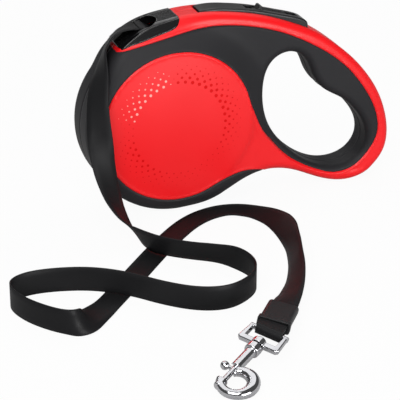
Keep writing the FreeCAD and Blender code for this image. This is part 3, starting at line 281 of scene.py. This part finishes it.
def smooth_line(points, closed=False, start=None, end=None, spacing=0.6):
    """A cubic spline through the points, as evenly spaced places."""
    p = np.array(points, float)
    if closed:
        p = np.vstack([p[-3:], p, p[:3]])
    step = np.hypot(*np.diff(p, axis=0).T)
    t = np.concatenate([[0.0], np.cumsum(step)])
    n = len(p)
    matrix, right = np.zeros((n, n)), np.zeros((n, 2))
    for i in range(1, n - 1):
        a, b = step[i - 1], step[i]
        matrix[i, i - 1:i + 2] = (b, 2 * (a + b), a)
        right[i] = 3 * (b * (p[i] - p[i - 1]) / a + a * (p[i + 1] - p[i]) / b)
    for row, near, tangent in ((0, 1, start), (n - 1, n - 2, end)):
        matrix[row, row] = 1.0
        if tangent is None:
            matrix[row, near] = 1.0
            right[row] = 2 * (p[max(row, near)] - p[min(row, near)]) / step[min(row, near)]
        else:
            right[row] = np.array(tangent) / np.hypot(*tangent)
    slope = np.linalg.solve(matrix, right)
    low, high = (t[3], t[-3]) if closed else (0.0, t[-1])
    count = max(8, int((high - low) / spacing))
    places = np.linspace(low, high, count + 1)
    if closed:
        places = places[:-1]
    k = np.clip(np.searchsorted(t, places, side="right") - 1, 0, n - 2)
    h = step[k][:, None]
    s = ((places - t[k]) / step[k])[:, None]
    return ((2 * s ** 3 - 3 * s ** 2 + 1) * p[k] + (s ** 3 - 2 * s ** 2 + s) * h * slope[k]
            + (-2 * s ** 3 + 3 * s ** 2) * p[k + 1] + (s ** 3 - s ** 2) * h * slope[k + 1])


def direction(degrees):
    """The unit vector at an angle from the x axis."""
    return (math.cos(math.radians(degrees)), math.sin(math.radians(degrees)))


chin_point, foot_point = around(DRUM_R, CHIN, FOOT, 2)
upper = smooth_line([tuple(foot_point)] + OUTLINE + [tuple(chin_point)], False,
                    direction(FOOT + 90), direction(CHIN + 90))
front = around(DRUM_R, CHIN, FOOT, 210)
outline_line = np.vstack([upper[:-1], front[:-1]])
hole_line = smooth_line(HOLE, True)
seam_upper = smooth_line(SEAM + [tuple(around(DISC_R, JOIN, JOIN, 1)[0])], False, (1, 0.02),
                         direction(JOIN + 90))
seam_disc = around(DISC_R, JOIN, LEAVE, 330)
seam_belly = smooth_line([tuple(seam_disc[-1])] + BELLY, False, direction(LEAVE + 90), (0.6, -1))
seam_line = np.vstack([seam_upper[:-1], seam_disc[:-1], seam_belly])
# loops round the black regions and the nozzle's saddle, closed well outside the casing
black_loop = np.vstack([seam_line, [(62, -75), (-80, -75), (-80, 48.4)]])
saddle_line = smooth_line(SADDLE, False, (1, 0.3), (0, 1))
saddle_loop = np.vstack([saddle_line, [(4.2, 80), (-50, 80), (-50, 51.6)]])


def inside(places, loop):
    """Which of the places lie inside the closed loop."""
    x, z = places[:, 0], places[:, 1]
    found = np.zeros(len(places), bool)
    for (x0, z0), (x1, z1) in zip(loop, np.roll(loop, -1, axis=0)):
        if z0 != z1:
            crossing = (z0 > z) != (z1 > z)
            found ^= crossing & (x < (x1 - x0) * (z - z0) / (z1 - z0) + x0)
    return found


def gap_to(places, line, closed=True):
    """How far each place is from the line."""
    ends = np.roll(line, -1, axis=0) if closed else line[1:]
    starts = line if closed else line[:-1]
    best = np.full(len(places), 1e9)
    for a, b in zip(starts, ends):
        ab = b - a
        share = np.clip(((places - a) @ ab) / max(ab @ ab, 1e-12), 0, 1)
        off = places - a - share[:, None] * ab
        best = np.minimum(best, (off ** 2).sum(axis=1))
    return np.sqrt(best)


def ease(value, low, high):
    """A smooth step from 0 at low to 1 at high."""
    s = np.clip((value - low) / (high - low), 0, 1)
    return s * s * (3 - 2 * s)


def smooth_max(a, b, blend):
    """The larger of the two, with the change from one to the other rounded."""
    return 0.5 * (a + b + np.sqrt((a - b) ** 2 + blend))


def thickness(places):
    """Half thickness before the edges are rounded: dome, shoulder cone, belly, hand grip."""
    x, z = places[:, 0], places[:, 1]
    r = np.hypot(x, z)
    angle = np.degrees(np.arctan2(z, x))
    dome = HALF + smooth_max(CROWN * (1 - (r / CROWN_R) ** 2) - 0.05, 0.0, 0.2)
    fall = HALF - (HALF - THIN) / (SHOULDER_R - DISC_R) * (r - DISC_R)
    cone = np.where(r < DISC_R, dome, np.minimum(smooth_max(fall, THIN, 4.0) - 0.25, HALF))
    # the front and the bottom of the drum keep the full thickness
    turned = np.maximum(ease(angle, *FRONT_TURN), ease(-angle, *BOTTOM_TURN))
    top = cone + (dome - cone) * turned
    # the red belly sweeps from the disc to the grip
    under = np.interp(x, *zip(*UNDER))
    low = ease(under - z, -0.5, 2.2) * ease(x, 16, 34)
    return top + (smooth_max(np.interp(x, *zip(*BELLY_HALF)), top, 0.4) - top) * low


def rounded(depth, edge, radius):
    """The depth brought down by a quarter round where an edge is nearer than the radius."""
    return depth - radius + np.sqrt(np.maximum(radius ** 2 - np.maximum(radius - edge, 0) ** 2, 0))


def half_depth(places):
    """The casing's half thickness with rounded edges, the seam's groove and its red lip."""
    full = thickness(places)
    share = np.clip((full - THIN) / (HALF - THIN), 0, 1)
    depth = rounded(full, gap_to(places, outline_line),
                    EDGE_ROUND + (EDGE_ROUND_DRUM - EDGE_ROUND) * share)
    depth = rounded(depth, gap_to(places, hole_line), HOLE_ROUND)
    groove = gap_to(places, seam_line, False)
    raised = np.where(inside(places, black_loop), 0.0, LIP)
    return (depth - GROOVE * np.exp(-(groove / GROOVE_WIDTH) ** 2)
            + raised * np.exp(-((groove - LIP_OFFSET) / GROOVE_WIDTH) ** 2))


def beside(line, distance, closed):
    """The line moved sideways by a distance, as loose places."""
    if closed:
        along = np.roll(line, -1, axis=0) - np.roll(line, 1, axis=0)
    else:
        along = np.gradient(line, axis=0)
    along /= np.hypot(*along.T)[:, None]
    return line + distance * np.column_stack([along[:, 1], -along[:, 0]])


def well_ring(place):
    """The rim of a screw's well."""
    return around(WELL_R, 0, 360 - 360 / WELL_STEPS, WELL_STEPS) + place


def sheet_points(side):
    """The fixed lines and the loose places between them that the side's skin is meshed on."""
    trimmed = seam_line[inside(seam_line, outline_line)]
    saddle = saddle_line[inside(saddle_line, outline_line)]
    fixed = [(outline_line, True), (hole_line, True), (trimmed, False), (saddle, False)]
    if side > 0:
        fixed += [(well_ring(place), True) for place in SCREWS]
    near = [beside(trimmed, way * distance, False)[::2] for distance in SEAM_ROWS
            for way in (1, -1)]
    far = [beside(line, -distance, True)[::2] for distance in FAR_ROWS
           for line in (outline_line, hole_line)]
    xs = np.arange(*GRID_X, GRID)
    for k, z in enumerate(np.arange(*GRID_Z, GRID * GRID_ROW)):
        far.append(np.column_stack([xs + (k % 2) * GRID / 2, np.full(len(xs), z)]))
    loose = np.vstack(near + far)
    from_near = np.arange(len(loose)) < sum(len(line) for line in near)
    kept = inside(loose, outline_line) & ~inside(loose, hole_line)
    loose, from_near = loose[kept], from_near[kept]
    for line in (outline_line, hole_line):
        gap = gap_to(loose, line)
        off_rows = np.all([abs(gap - row) > CLEAR_OF_ROWS for row in (0.0,) + EDGE_ROWS], axis=0)
        kept = np.where(from_near, off_rows, gap > EDGE_ROWS[-1] + CLEAR_OF_EDGES)
        loose, from_near = loose[kept], from_near[kept]
    for line, closed in fixed[2:]:
        loose = loose[gap_to(loose, line, closed) > CLEAR_OF_SEAMS]
    cells = {}
    for k, (x, z) in enumerate(loose):
        cells.setdefault((round(x / CELL), round(z / CELL)), k)
    for distance in EDGE_ROWS:
        fixed.append((beside(outline_line, -distance, True), True))
        fixed.append((beside(hole_line, -distance, True), True))
    return fixed, loose[sorted(cells.values())]


def side_skin(side):
    """One side's skin as (verts, {region: triangles})."""
    fixed, loose = sheet_points(side)
    verts, edges = [], []
    for line, closed in fixed:
        first = len(verts)
        verts.extend(Vector(p) for p in line)
        edges += [(first + k, first + k + 1) for k in range(len(line) - 1)]
        if closed:
            edges.append((len(verts) - 1, first))
    verts.extend(Vector(p) for p in loose)
    flat, _, faces, _, _, _ = delaunay_2d_cdt(verts, edges, [], 0, 1e-5)
    flat = np.array([tuple(v) for v in flat])
    faces = np.array([tuple(f) for f in faces])
    centre = flat[faces].mean(axis=1)
    keep = inside(centre, outline_line) & ~inside(centre, hole_line)
    if side > 0:
        for x, z in SCREWS:
            keep &= np.hypot(centre[:, 0] - x, centre[:, 1] - z) > WELL_R - 0.02
    saddle = inside(centre, saddle_loop)
    black = inside(centre, black_loop) & ~saddle
    depth = half_depth(flat)
    places = np.column_stack([flat[:, 0], side * depth, flat[:, 1]])
    return places, {"red": faces[keep & ~black & ~saddle], "black": faces[keep & black]}


def wall_strip(keep, rows):
    """Quads between rows of places round a closed line, on the stretches that keep says."""
    faces = []
    count = len(keep)
    for k in np.flatnonzero(keep):
        i = (k + 1) % count
        for j in range(len(rows) - 1):
            faces.append((j * count + k, j * count + i, (j + 1) * count + i, (j + 1) * count + k))
    return np.vstack(rows), faces


def edge_rows(line, side, inward, shares, levels):
    """A wall's rows: at shares of the half thickness, then at (y, sink) levels.

    The sink is how far a row lies inward, into the plastic."""
    depth = half_depth(line)
    rows = [np.column_stack([line[:, 0], side * depth * share, line[:, 1]]) for share in shares]
    for y, sink in levels:
        place = line + inward * sink
        rows.append(np.column_stack([place[:, 0], np.full(len(place), side * y), place[:, 1]]))
    return rows


def welded(pieces):
    """Several lots of vertices and faces as one, with shared places merged and spare ones gone."""
    verts, faces = [], []
    for places, polygons in pieces:
        first = len(verts)
        verts.extend(tuple(p) for p in places)
        faces.extend(tuple(int(i) + first for i in f) for f in polygons)
    index, merged, remap = {}, [], []
    for v in verts:
        key = tuple(round(c * WELD_STEPS) for c in v)
        if key not in index:
            index[key] = len(merged)
            merged.append(v)
        remap.append(index[key])
    clean = []
    for f in faces:
        f = [remap[i] for i in f]
        f = [i for k, i in enumerate(f) if i != f[k - 1]]
        if len(set(f)) >= 3:
            clean.append(f)
    used = sorted({i for f in clean for i in f})
    order = {i: k for k, i in enumerate(used)}
    return [merged[i] for i in used], [[order[i] for i in f] for f in clean]


def joined(name, pieces, material, replaced):
    """One object on the casing from several lots of vertices and faces in the side view's mm."""
    verts, faces = welded(pieces)
    places = [((x + DRUM.x) * MM, y * MM, (z + DRUM.z) * MM) for x, y, z in verts]
    mesh = smooth_mesh(name, places, faces, material)
    work = bmesh.new()
    work.from_mesh(mesh)
    bmesh.ops.recalc_face_normals(work, faces=work.faces)
    work.to_mesh(mesh)
    work.free()
    mesh.set_sharp_from_angle(angle=math.radians(SHARP))
    obj = added(name, mesh)
    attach(obj, "casing")
    if replaced:
        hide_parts(*replaced)


def inward_of(line, sign):
    """The unit vectors square to a closed line, on the side that the sign chooses."""
    along = np.roll(line, -1, axis=0) - np.roll(line, 1, axis=0)
    along /= np.hypot(*along.T)[:, None]
    return sign * np.column_stack([-along[:, 1], along[:, 0]])


def slot_end(k, side, inward):
    """A flat cheek that closes the brake's slot at place k of the outline."""
    top = outline_line[k]
    down = top + inward[k] * SLOT_DEPTH
    wide = side * SLOT[2]
    return ([(top[0], 0, top[1]), (top[0], wide, top[1]), (down[0], wide, down[1]),
             (down[0], 0, down[1])], [(0, 1, 2, 3)])


def screw_well(place, side):
    """The wall of a round well for a screw's head."""
    ring = well_ring(place)
    rows = [np.column_stack([ring[:, 0], side * depth, ring[:, 1]])
            for depth in (half_depth(ring), np.full(WELL_STEPS, WELL_FLOOR))]
    return wall_strip(np.ones(WELL_STEPS, bool), rows)


def casing_half(side, name):
    """The side's skin, walls, hole lining and wells, as one red and one black piece."""
    places, regions = side_skin(side)
    inward = inward_of(outline_line, 1)
    mid = (outline_line + np.roll(outline_line, -1, axis=0)) / 2
    saddle = inside(mid, saddle_loop)
    black = inside(mid, black_loop) & ~saddle
    slot = (mid[:, 0] > SLOT[0]) & (mid[:, 0] < SLOT[1]) & (mid[:, 1] > 40)
    rows = edge_rows(outline_line, side, inward, WALL_SHARES, OUTER_PARTING)
    red = [(places, regions["red"])]
    dark = [(places, regions["black"])]
    red.append(wall_strip(~black & ~saddle & ~slot, rows))
    dark.append(wall_strip(black, rows))
    # beside the brake the wall stops at the slot and turns down into it
    wide = SLOT[2]
    cut_rows = edge_rows(outline_line, side, inward, (1.0,),
                         ((wide + 0.5, 0.0), (wide + 0.12, 0.1), (wide, 0.5),
                          (wide, SLOT_DEPTH)))
    red.append(wall_strip(slot, cut_rows))
    along_slot = np.flatnonzero(slot)
    red.append(slot_end(along_slot[-1] + 1, side, inward))
    red.append(slot_end(along_slot[0], side, inward))
    lining = edge_rows(hole_line, side, inward_of(hole_line, -1), WALL_SHARES, HOLE_PARTING)
    dark.append(wall_strip(np.ones(len(hole_line), bool), lining))
    if side > 0:
        for place in SCREWS:
            in_black = inside(np.array([place]), black_loop)[0]
            (dark if in_black else red).append(screw_well(place, side))
    joined("casing_red_" + name, red, MATERIALS["red_shell"], ["shell_" + name])
    joined("casing_black_" + name, dark, MATERIALS["soft_grip"], ["grip_" + name])


casing_half(-1, "right")
casing_half(1, "left")


# ---- dots on the disc ---------------------------------------------------------------------
# Five staggered rows of small round marks, each a thin disc. Their two colours are painted light
# on the red dimples: the arc towards the mouth is the bright one, a painted highlight, and the
# rest carry painted shade.

DOT_ROWS = [(29.6, 0.88), (32.3, 0.76), (34.9, 0.54), (37.4, 0.4), (39.7, 0.28)]  # radius, size
DOT_STEP, DOT_START = 9.0, 1.5          # degrees
# the arc of dots that get the painted highlight colour
HIGHLIGHT_ARC = (98, 166)                    # degrees
DOT_SCALE = {"pale": 0.95, "painted_shade": 1.25}
DOT_SIDES, SMALLEST_DOT = 12, 0.16
DOT_FACES = (-0.2, 0.05)                # the discs' inner and outer face from the skin


def dot_share(angle):
    """How large a dot is at an angle round the disc, from 0 to 1."""
    stops = (-180, -172, -160, -125, -100, -45, -15, 15, 80, 93, 98, 104, 158, 170, 180)
    sizes = (0.3, 0.55, 0.8, 0.72, 0.42, 0.3, 0.7, 1, 1, 0.8, 0, 1, 1, 0.3, 0.3)
    return float(np.interp(angle, stops, sizes))


def dot_discs(circles, side):
    """Closed thin discs from circles in the side view, as (verts, faces)."""
    flat = np.vstack(circles)
    depth = half_depth(flat)
    layers = [np.column_stack([flat[:, 0], side * (depth + level), flat[:, 1]])
              for level in DOT_FACES]
    faces = []
    for first in range(0, len(flat), DOT_SIDES):
        faces.append(tuple(range(first, first + DOT_SIDES)))
        faces.append(tuple(len(flat) + k for k in range(first, first + DOT_SIDES)))
        for j in range(DOT_SIDES):
            a, b = first + j, first + (j + 1) % DOT_SIDES
            faces.append((a, b, len(flat) + b, len(flat) + a))
    return np.vstack(layers), faces


def disc_dots(side, name):
    """The side's dots, as one piece with a painted highlight and one with painted shade."""
    circles = {"pale": [], "painted_shade": []}
    for row, (radius, size) in enumerate(DOT_ROWS):
        for k in range(int(360 / DOT_STEP)):
            angle = (k + 0.5 * (row % 2)) * DOT_STEP + DOT_START
            angle = angle - 360 if angle > 180 else angle
            # inside the arc a dot gets the painted highlight colour, elsewhere the painted shade
            # colour
            shade = "pale" if HIGHLIGHT_ARC[0] < angle < HIGHLIGHT_ARC[1] else "painted_shade"
            dot = size * dot_share(angle) * DOT_SCALE[shade]
            if dot > SMALLEST_DOT:
                ring = around(dot, 0, 360 - 360 / DOT_SIDES, DOT_SIDES)
                circles[shade].append(ring + np.array(direction(angle)) * radius)
    for shade, rings in circles.items():
        joined("disc_dots_" + shade + "_" + name, [dot_discs(rings, side)],
               MATERIALS["dot_" + shade], [])


disc_dots(-1, "right")
disc_dots(1, "left")


# ---- tape ---------------------------------------------------------------------------------
# The route's points in mm, x and y from the drum's centre and z from the floor, and the way
# that the tape's lower or right-hand edge faces at each.

ROUTE = [
    ((-20.0, 0.0, 117.4), (0.0, -1.0, 0.0)),
    ((-27.5, -0.3, 117.0), (0.0, -0.97, 0.2)),
    ((-35.0, -0.8, 113.5), (-0.17, -0.93, 0.33)),
    ((-40.8, -2.5, 106.0), (-0.34, -0.94, 0.0)),
    ((-44.3, -7.5, 97.5), (0.0, -1.0, 0.0)),
    ((-48.2, -14.5, 89.0), (0.41, -0.91, 0.0)),
    ((-51.3, -21.0, 79.0), (0.64, -0.77, 0.0)),
    ((-52.4, -26.0, 67.5), (0.82, -0.57, 0.0)),
    ((-52.3, -29.5, 55.5), (0.98, -0.17, 0.0)),
    ((-51.7, -32.5, 43.5), (0.98, 0.21, 0.0)),
    ((-49.8, -37.5, 30.5), (0.88, 0.41, -0.2)),
    ((-46.5, -44.0, 19.0), (0.7, 0.5, -0.45)),
    ((-42.0, -52.5, 11.0), (0.5, 0.5, -0.65)),
    ((-38.5, -62.5, 8.8), (0.3, 0.25, -0.92)),
    ((-33.5, -73.5, 8.8), (0.0, 0.4, -0.91)),
    ((-19.0, -86.0, 8.5), (0.0, 0.4, -0.91)),
    ((-3.0, -94.5, 8.0), (0.1, 0.3, -0.95)),
    ((6.5, -105.0, 7.8), (0.0, 0.0, -1.0)),
    ((10.0, -118.0, 7.7), (0.0, 0.0, -1.0)),
    ((7.0, -131.0, 7.7), (0.0, 0.0, -1.0)),
    ((-2.0, -140.5, 7.7), (0.0, 0.0, -1.0)),
    ((-16.0, -147.0, 7.7), (0.0, 0.0, -1.0)),
    ((-32.0, -143.0, 7.7), (0.0, 0.0, -1.0)),
    ((-48.0, -130.5, 8.0), (0.0, 0.0, -1.0)),
    ((-63.0, -114.5, 8.9), (0.0, 0.0, -1.0)),
    ((-80.0, -102.0, 8.9), (0.0, 0.0, -1.0)),
    ((-98.0, -94.5, 8.0), (0.0, 0.0, -1.0)),
    ((-115.0, -92.5, 7.7), (0.0, 0.0, -1.0)),
    ((-126.5, -97.5, 7.7), (0.0, 0.0, -1.0)),
    ((-129.0, -107.0, 7.7), (0.0, 0.0, -1.0)),
    ((-125.0, -121.0, 7.7), (0.0, 0.0, -1.0)),
    ((-116.0, -135.0, 7.7), (0.0, 0.0, -1.0)),
    ((-106.5, -145.5, 8.2), (0.1, -0.1, -1.0)),
    ((-97.0, -144.5, 6.6), (0.4, -0.4, -0.8)),
    ((-89.0, -133.5, 3.3), (0.7, -0.65, -0.3)),
    ((-77.0, -119.5, 0.8), (0.72, -0.7, 0.0)),
    ((-62.0, -102.5, 0.6), (0.72, -0.7, 0.0)),
    ((-46.0, -84.0, 0.6), (0.75, -0.66, 0.0)),
    ((-31.0, -67.0, 0.6), (0.74, -0.67, 0.0)),
    ((-16.0, -51.0, 0.6), (0.7, -0.71, 0.0)),
    ((-1.0, -37.0, 0.6), (0.6, -0.8, 0.0)),
    ((14.0, -28.5, 0.6), (0.3, -0.95, 0.0)),
    ((30.0, -26.5, 0.7), (-0.1, -1.0, 0.0)),
    ((43.0, -36.0, 1.3), (-0.8, -0.6, -0.08)),
    ((50.0, -52.0, 3.3), (-0.94, -0.1, -0.34)),
    ((49.5, -71.0, 5.5), (-0.76, 0.1, -0.64)),
    ((45.0, -92.0, 7.1), (-0.48, 0.14, -0.87)),
    ((38.5, -112.0, 7.1), (-0.48, 0.16, -0.87)),
    ((31.0, -131.0, 5.9), (-0.63, 0.3, -0.71)),
    ((21.5, -147.0, 5.0), (-0.78, 0.45, -0.42)),
    ((14.0, -158.0, 6.4), (-0.82, 0.55, -0.1)),
    ((7.5, -168.0, 8.0), (-0.8, 0.58, 0.13)),
]


TAPE_WIDTH, TAPE_THICK = 15.0, 1.0
TAPE_SOFTENING = 0.35                   # the edges' softening as a share of the thickness
TURN_EASING = 0.35                      # how far the tape turns in steps rather than evenly
TURN_PASSES = 6


def route_line():
    """The places along the spline that the route's points control, in metres."""
    curve = bpy.data.curves.new("tape route", "CURVE")
    curve.dimensions = "3D"
    line = curve.splines.new("NURBS")
    line.points.add(len(ROUTE) - 1)
    for point, (place, side) in zip(line.points, ROUTE):
        point.co = ((place[0] + DRUM.x) * MM, place[1] * MM, place[2] * MM, 1.0)
    line.order_u = 3
    line.use_endpoint_u = True
    line.resolution_u = 10
    holder = added("tape route", curve)
    mesh = bpy.data.meshes.new_from_object(holder)
    places = [v.co.copy() for v in mesh.vertices]
    bpy.data.objects.remove(holder)
    return places


def side_at(t):
    """The tape's edge direction at t of the way along the spline."""
    u = t * (len(ROUTE) - 2)
    knots = [0.0] + [k + 0.5 for k in range(len(ROUTE) - 2)] + [len(ROUTE) - 2.0]
    k = max(i for i in range(len(knots) - 1) if knots[i] <= u or i == 0)
    share = (u - knots[k]) / (knots[k + 1] - knots[k])
    share = share * share * (3 - 2 * share) * TURN_EASING + share * (1 - TURN_EASING)
    return Vector(ROUTE[k][1]).lerp(Vector(ROUTE[k + 1][1]), share)


def sweep_faces(rings, count):
    """The faces of a closed sweep through rings of count places each."""
    faces = []
    for k in range(rings - 1):
        for j in range(count):
            i = (j + 1) % count
            faces.append((k * count + j, k * count + i, (k + 1) * count + i, (k + 1) * count + j))
    faces.append(tuple(reversed(range(count))))
    faces.append(tuple(range((rings - 1) * count, rings * count)))
    return faces


def ribbon(name, places, sides, width, thick):
    """A woven band: an oblong with softened edges swept along the places."""
    half, low, soft = width / 2, thick / 2, thick * TAPE_SOFTENING
    section = [(-half + soft, -low), (-half * 0.5, -low), (0, -low), (half * 0.5, -low),
               (half - soft, -low), (half, -low + soft), (half, low - soft), (half - soft, low),
               (half * 0.5, low), (0, low), (-half * 0.5, low), (-half + soft, low),
               (-half, low - soft), (-half, -low + soft)]
    verts, uvs = [], []
    run = 0.0
    for k, place in enumerate(places):
        ahead = places[min(k + 1, len(places) - 1)] - places[max(k - 1, 0)]
        ahead.normalize()
        across = (sides[k] - ahead * sides[k].dot(ahead)).normalized()
        up = ahead.cross(across)
        if k:
            run += (place - places[k - 1]).length
        for a, b in section:
            verts.append(place + across * a + up * b)
            uvs.append((run, a))
    faces = sweep_faces(len(places), len(section))
    mesh = smooth_mesh(name, verts, faces, MATERIALS["tape_web"])
    layer = mesh.uv_layers.new(name="weave")
    for loop in mesh.loops:
        layer.data[loop.index].uv = uvs[loop.vertex_index]
    return added(name, mesh)


path = route_line()
edge_dirs = [side_at(k / (len(path) - 1)) for k in range(len(path))]
for _ in range(TURN_PASSES):
    between = [(a + b * 2 + c) / 4 for a, b, c in zip(edge_dirs, edge_dirs[1:], edge_dirs[2:])]
    edge_dirs = [edge_dirs[0]] + between + [edge_dirs[-1]]
tape = ribbon("tape_visual", path, edge_dirs, TAPE_WIDTH * MM, TAPE_THICK * MM)
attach(tape, "casing")
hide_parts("tape")


# ---- springs ------------------------------------------------------------------------------

joints = {j["name"]: j for j in frame["record"]["behaviour"]["joints"]}


def sprung(node):
    """A baked copy of the spring's mesh, with the spring's own part hidden."""
    solid = frame["nodes"][node]
    coil = added(node + "_coil", solid.data.copy())
    coil.matrix_world = solid.matrix_world.copy()
    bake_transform(coil)
    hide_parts(node)


shank = Vector(joints["hook_swivel"]["axis"])
shank_start = Vector(joints["hook_swivel"]["pos_m"])
sprung("bolt_spring")
sprung("brake_spring")


# ---- hook's cheek -------------------------------------------------------------------------
# The casting is thicker where the ring leaves the shank, on the side away from the gate.

RING_ALONG, RING_ASIDE = 30.2, 6.6      # the ring's centre, along and beside the shank
CHEEK_ALONG, CHEEK_ASIDE = 8.8, 8.3     # half axes of the cheek's middle line
CHEEK_ARC, CHEEK_STEPS = (212, 30), 40
WIRE_R, CHEEK_SWELL = 2.63, 0.95


def tube(name, places, radii, up, body, material, sides=20):
    """A closed round tube through places in the plane square to up, each with its radius."""
    verts = []
    for k, place in enumerate(places):
        ahead = (places[min(k + 1, len(places) - 1)] - places[max(k - 1, 0)]).normalized()
        across = up.cross(ahead).normalized()
        for j in range(sides):
            turn = 2 * math.pi * j / sides
            verts.append(place + (across * math.cos(turn) + up * math.sin(turn)) * radii[k])
    mesh = smooth_mesh(name, verts, sweep_faces(len(places), sides), MATERIALS[material])
    mesh.set_sharp_from_angle(angle=math.radians(SHARP))
    obj = added(name, mesh)
    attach(obj, body)


ring_side = Vector(joints["eye_tilt"]["axis"])
ring_up = shank.cross(ring_side).normalized()
ring_centre = shank_start + (shank * RING_ALONG + ring_side * RING_ASIDE) * MM
cheek = [ring_centre + (shank * CHEEK_ALONG * math.cos(turn)
                        + ring_side * CHEEK_ASIDE * math.sin(turn)) * MM
         for turn in np.radians(np.linspace(*CHEEK_ARC, CHEEK_STEPS))]
cheek_radii = [(WIRE_R + CHEEK_SWELL * math.sin(math.pi * k / (CHEEK_STEPS - 1)) ** 1.5) * MM
               for k in range(CHEEK_STEPS)]
tube("hook_cheek", cheek, cheek_radii, ring_up, "hook", "chrome")


# ---- stage and camera ---------------------------------------------------------------------

FLOOR_HALF, FLOOR_GAP = 3.0, 0.0006     # metres


def lamp(name, place, aim, size, power):
    """A white oblong area lamp at a place, turned towards its aim."""
    data = bpy.data.lights.new(name, "AREA")
    data.shape = "RECTANGLE"
    data.size, data.size_y = size
    data.energy = power
    obj = added(name, data)
    obj.location = place
    obj.rotation_euler = (Vector(aim) - Vector(place)).to_track_quat("-Z", "Y").to_euler()


def seen_directly(tree, camera, mirror):
    """camera for camera rays, mirror for mirror and glass rays, 0 for all others."""
    kinds = tree.nodes.new("ShaderNodeLightPath")
    total = None
    for name, share in (("Is Camera Ray", camera), ("Is Glossy Ray", mirror),
                        ("Is Transmission Ray", mirror)):
        adder = tree.nodes.new("ShaderNodeMath")
        adder.operation = "MULTIPLY_ADD"
        tree.links.new(kinds.outputs[name], adder.inputs[0])
        adder.inputs[1].default_value = share
        adder.inputs[2].default_value = 0.0
        if total:
            tree.links.new(total, adder.inputs[2])
        total = adder.outputs[0]
    return total


def mixed(tree, share, first, second):
    """A mix of two shaders, first where the share is 0 and second where it is 1."""
    mixer = tree.nodes.new("ShaderNodeMixShader")
    tree.links.new(share, mixer.inputs["Fac"])
    tree.links.new(first.outputs[0], mixer.inputs[1])
    tree.links.new(second.outputs[0], mixer.inputs[2])
    return mixer


def white_floor():
    """A pale floor just under the part, which the camera sees as plain white."""
    mesh = bpy.data.meshes.new("floor")
    s = FLOOR_HALF
    mesh.from_pydata([(-s, -s, 0), (s, -s, 0), (s, s, 0), (-s, s, 0)], [], [(0, 1, 2, 3)])
    floor = added("floor", mesh)
    floor.location = (0, 0, -FLOOR_GAP)
    mat = bpy.data.materials.new("floor")
    mat.use_nodes = True
    tree = mat.node_tree
    tree.nodes.clear()
    out = tree.nodes.new("ShaderNodeOutputMaterial")
    diffuse = tree.nodes.new("ShaderNodeBsdfDiffuse")
    diffuse.inputs["Color"].default_value = (0.5, 0.5, 0.5, 1)
    glow = tree.nodes.new("ShaderNodeEmission")
    glow.inputs["Color"].default_value = (1, 1, 1, 1)
    glow.inputs["Strength"].default_value = 1.02
    surface = mixed(tree, seen_directly(tree, 0.93, 0.1), diffuse, glow)
    tree.links.new(surface.outputs[0], out.inputs["Surface"])
    mesh.materials.append(mat)


def backdrop(tree, strength):
    """A plain white background of a given strength."""
    node = tree.nodes.new("ShaderNodeBackground")
    node.inputs["Color"].default_value = (1, 1, 1, 1)
    node.inputs["Strength"].default_value = strength
    return node


def white_world():
    """White for the camera, a dim even light on the part, and a horizon for reflections."""
    world = bpy.data.worlds.new("studio")
    world.use_nodes = True
    tree = world.node_tree
    tree.nodes.clear()
    out = tree.nodes.new("ShaderNodeOutputWorld")
    # reflections see a white backdrop up to eye level and a dim ceiling that the lamps hang under
    coords = tree.nodes.new("ShaderNodeTexCoord")
    parts = tree.nodes.new("ShaderNodeSeparateXYZ")
    tree.links.new(coords.outputs["Generated"], parts.inputs[0])
    fade = tree.nodes.new("ShaderNodeValToRGB")
    fade.color_ramp.elements[0].position = 0.0
    fade.color_ramp.elements[0].color = (1, 1, 1, 1)
    fade.color_ramp.elements[1].position = 0.13
    fade.color_ramp.elements[1].color = (0.10, 0.10, 0.10, 1)
    tree.links.new(parts.outputs["Z"], fade.inputs["Fac"])
    mirrored = backdrop(tree, 1.0)
    tree.links.new(fade.outputs["Color"], mirrored.inputs["Color"])
    lit_or_mirrored = mixed(tree, seen_directly(tree, 1.0, 1.0), backdrop(tree, 0.13), mirrored)
    whole = mixed(tree, seen_directly(tree, 1.0, 0.0), lit_or_mirrored, backdrop(tree, 1.0))
    tree.links.new(whole.outputs[0], out.inputs["Surface"])
    bpy.context.scene.world = world


white_floor()
white_world()
lamp("key", (-0.55, -0.85, 0.95), (-0.05, -0.05, 0.05), (0.8, 0.8), 12.0)
lamp("fill", (0.28, -1.2, 0.17), (-0.03, -0.05, 0.07), (0.75, 0.24), 9.5)
lamp("rim", (-0.05, 1.0, 0.78), (-0.02, 0.0, 0.09), (1.2, 0.12), 1.4)
lamp("top", (0.0, 0.35, 1.1), (0.0, -0.05, 0.05), (1.8, 1.1), 8.0)

camera_data = bpy.data.cameras.new("camera")
camera_data.lens = 154.2
camera_data.sensor_width = 36.0
camera_data.clip_end = 10.0
camera = added("camera", camera_data)
camera.location = (-0.3593, -0.9217, 0.4540)
camera.rotation_euler = (math.radians(65), 0, math.radians(-20))
bpy.context.scene.camera = camera
bpy.context.scene.view_settings.view_transform = "Standard"
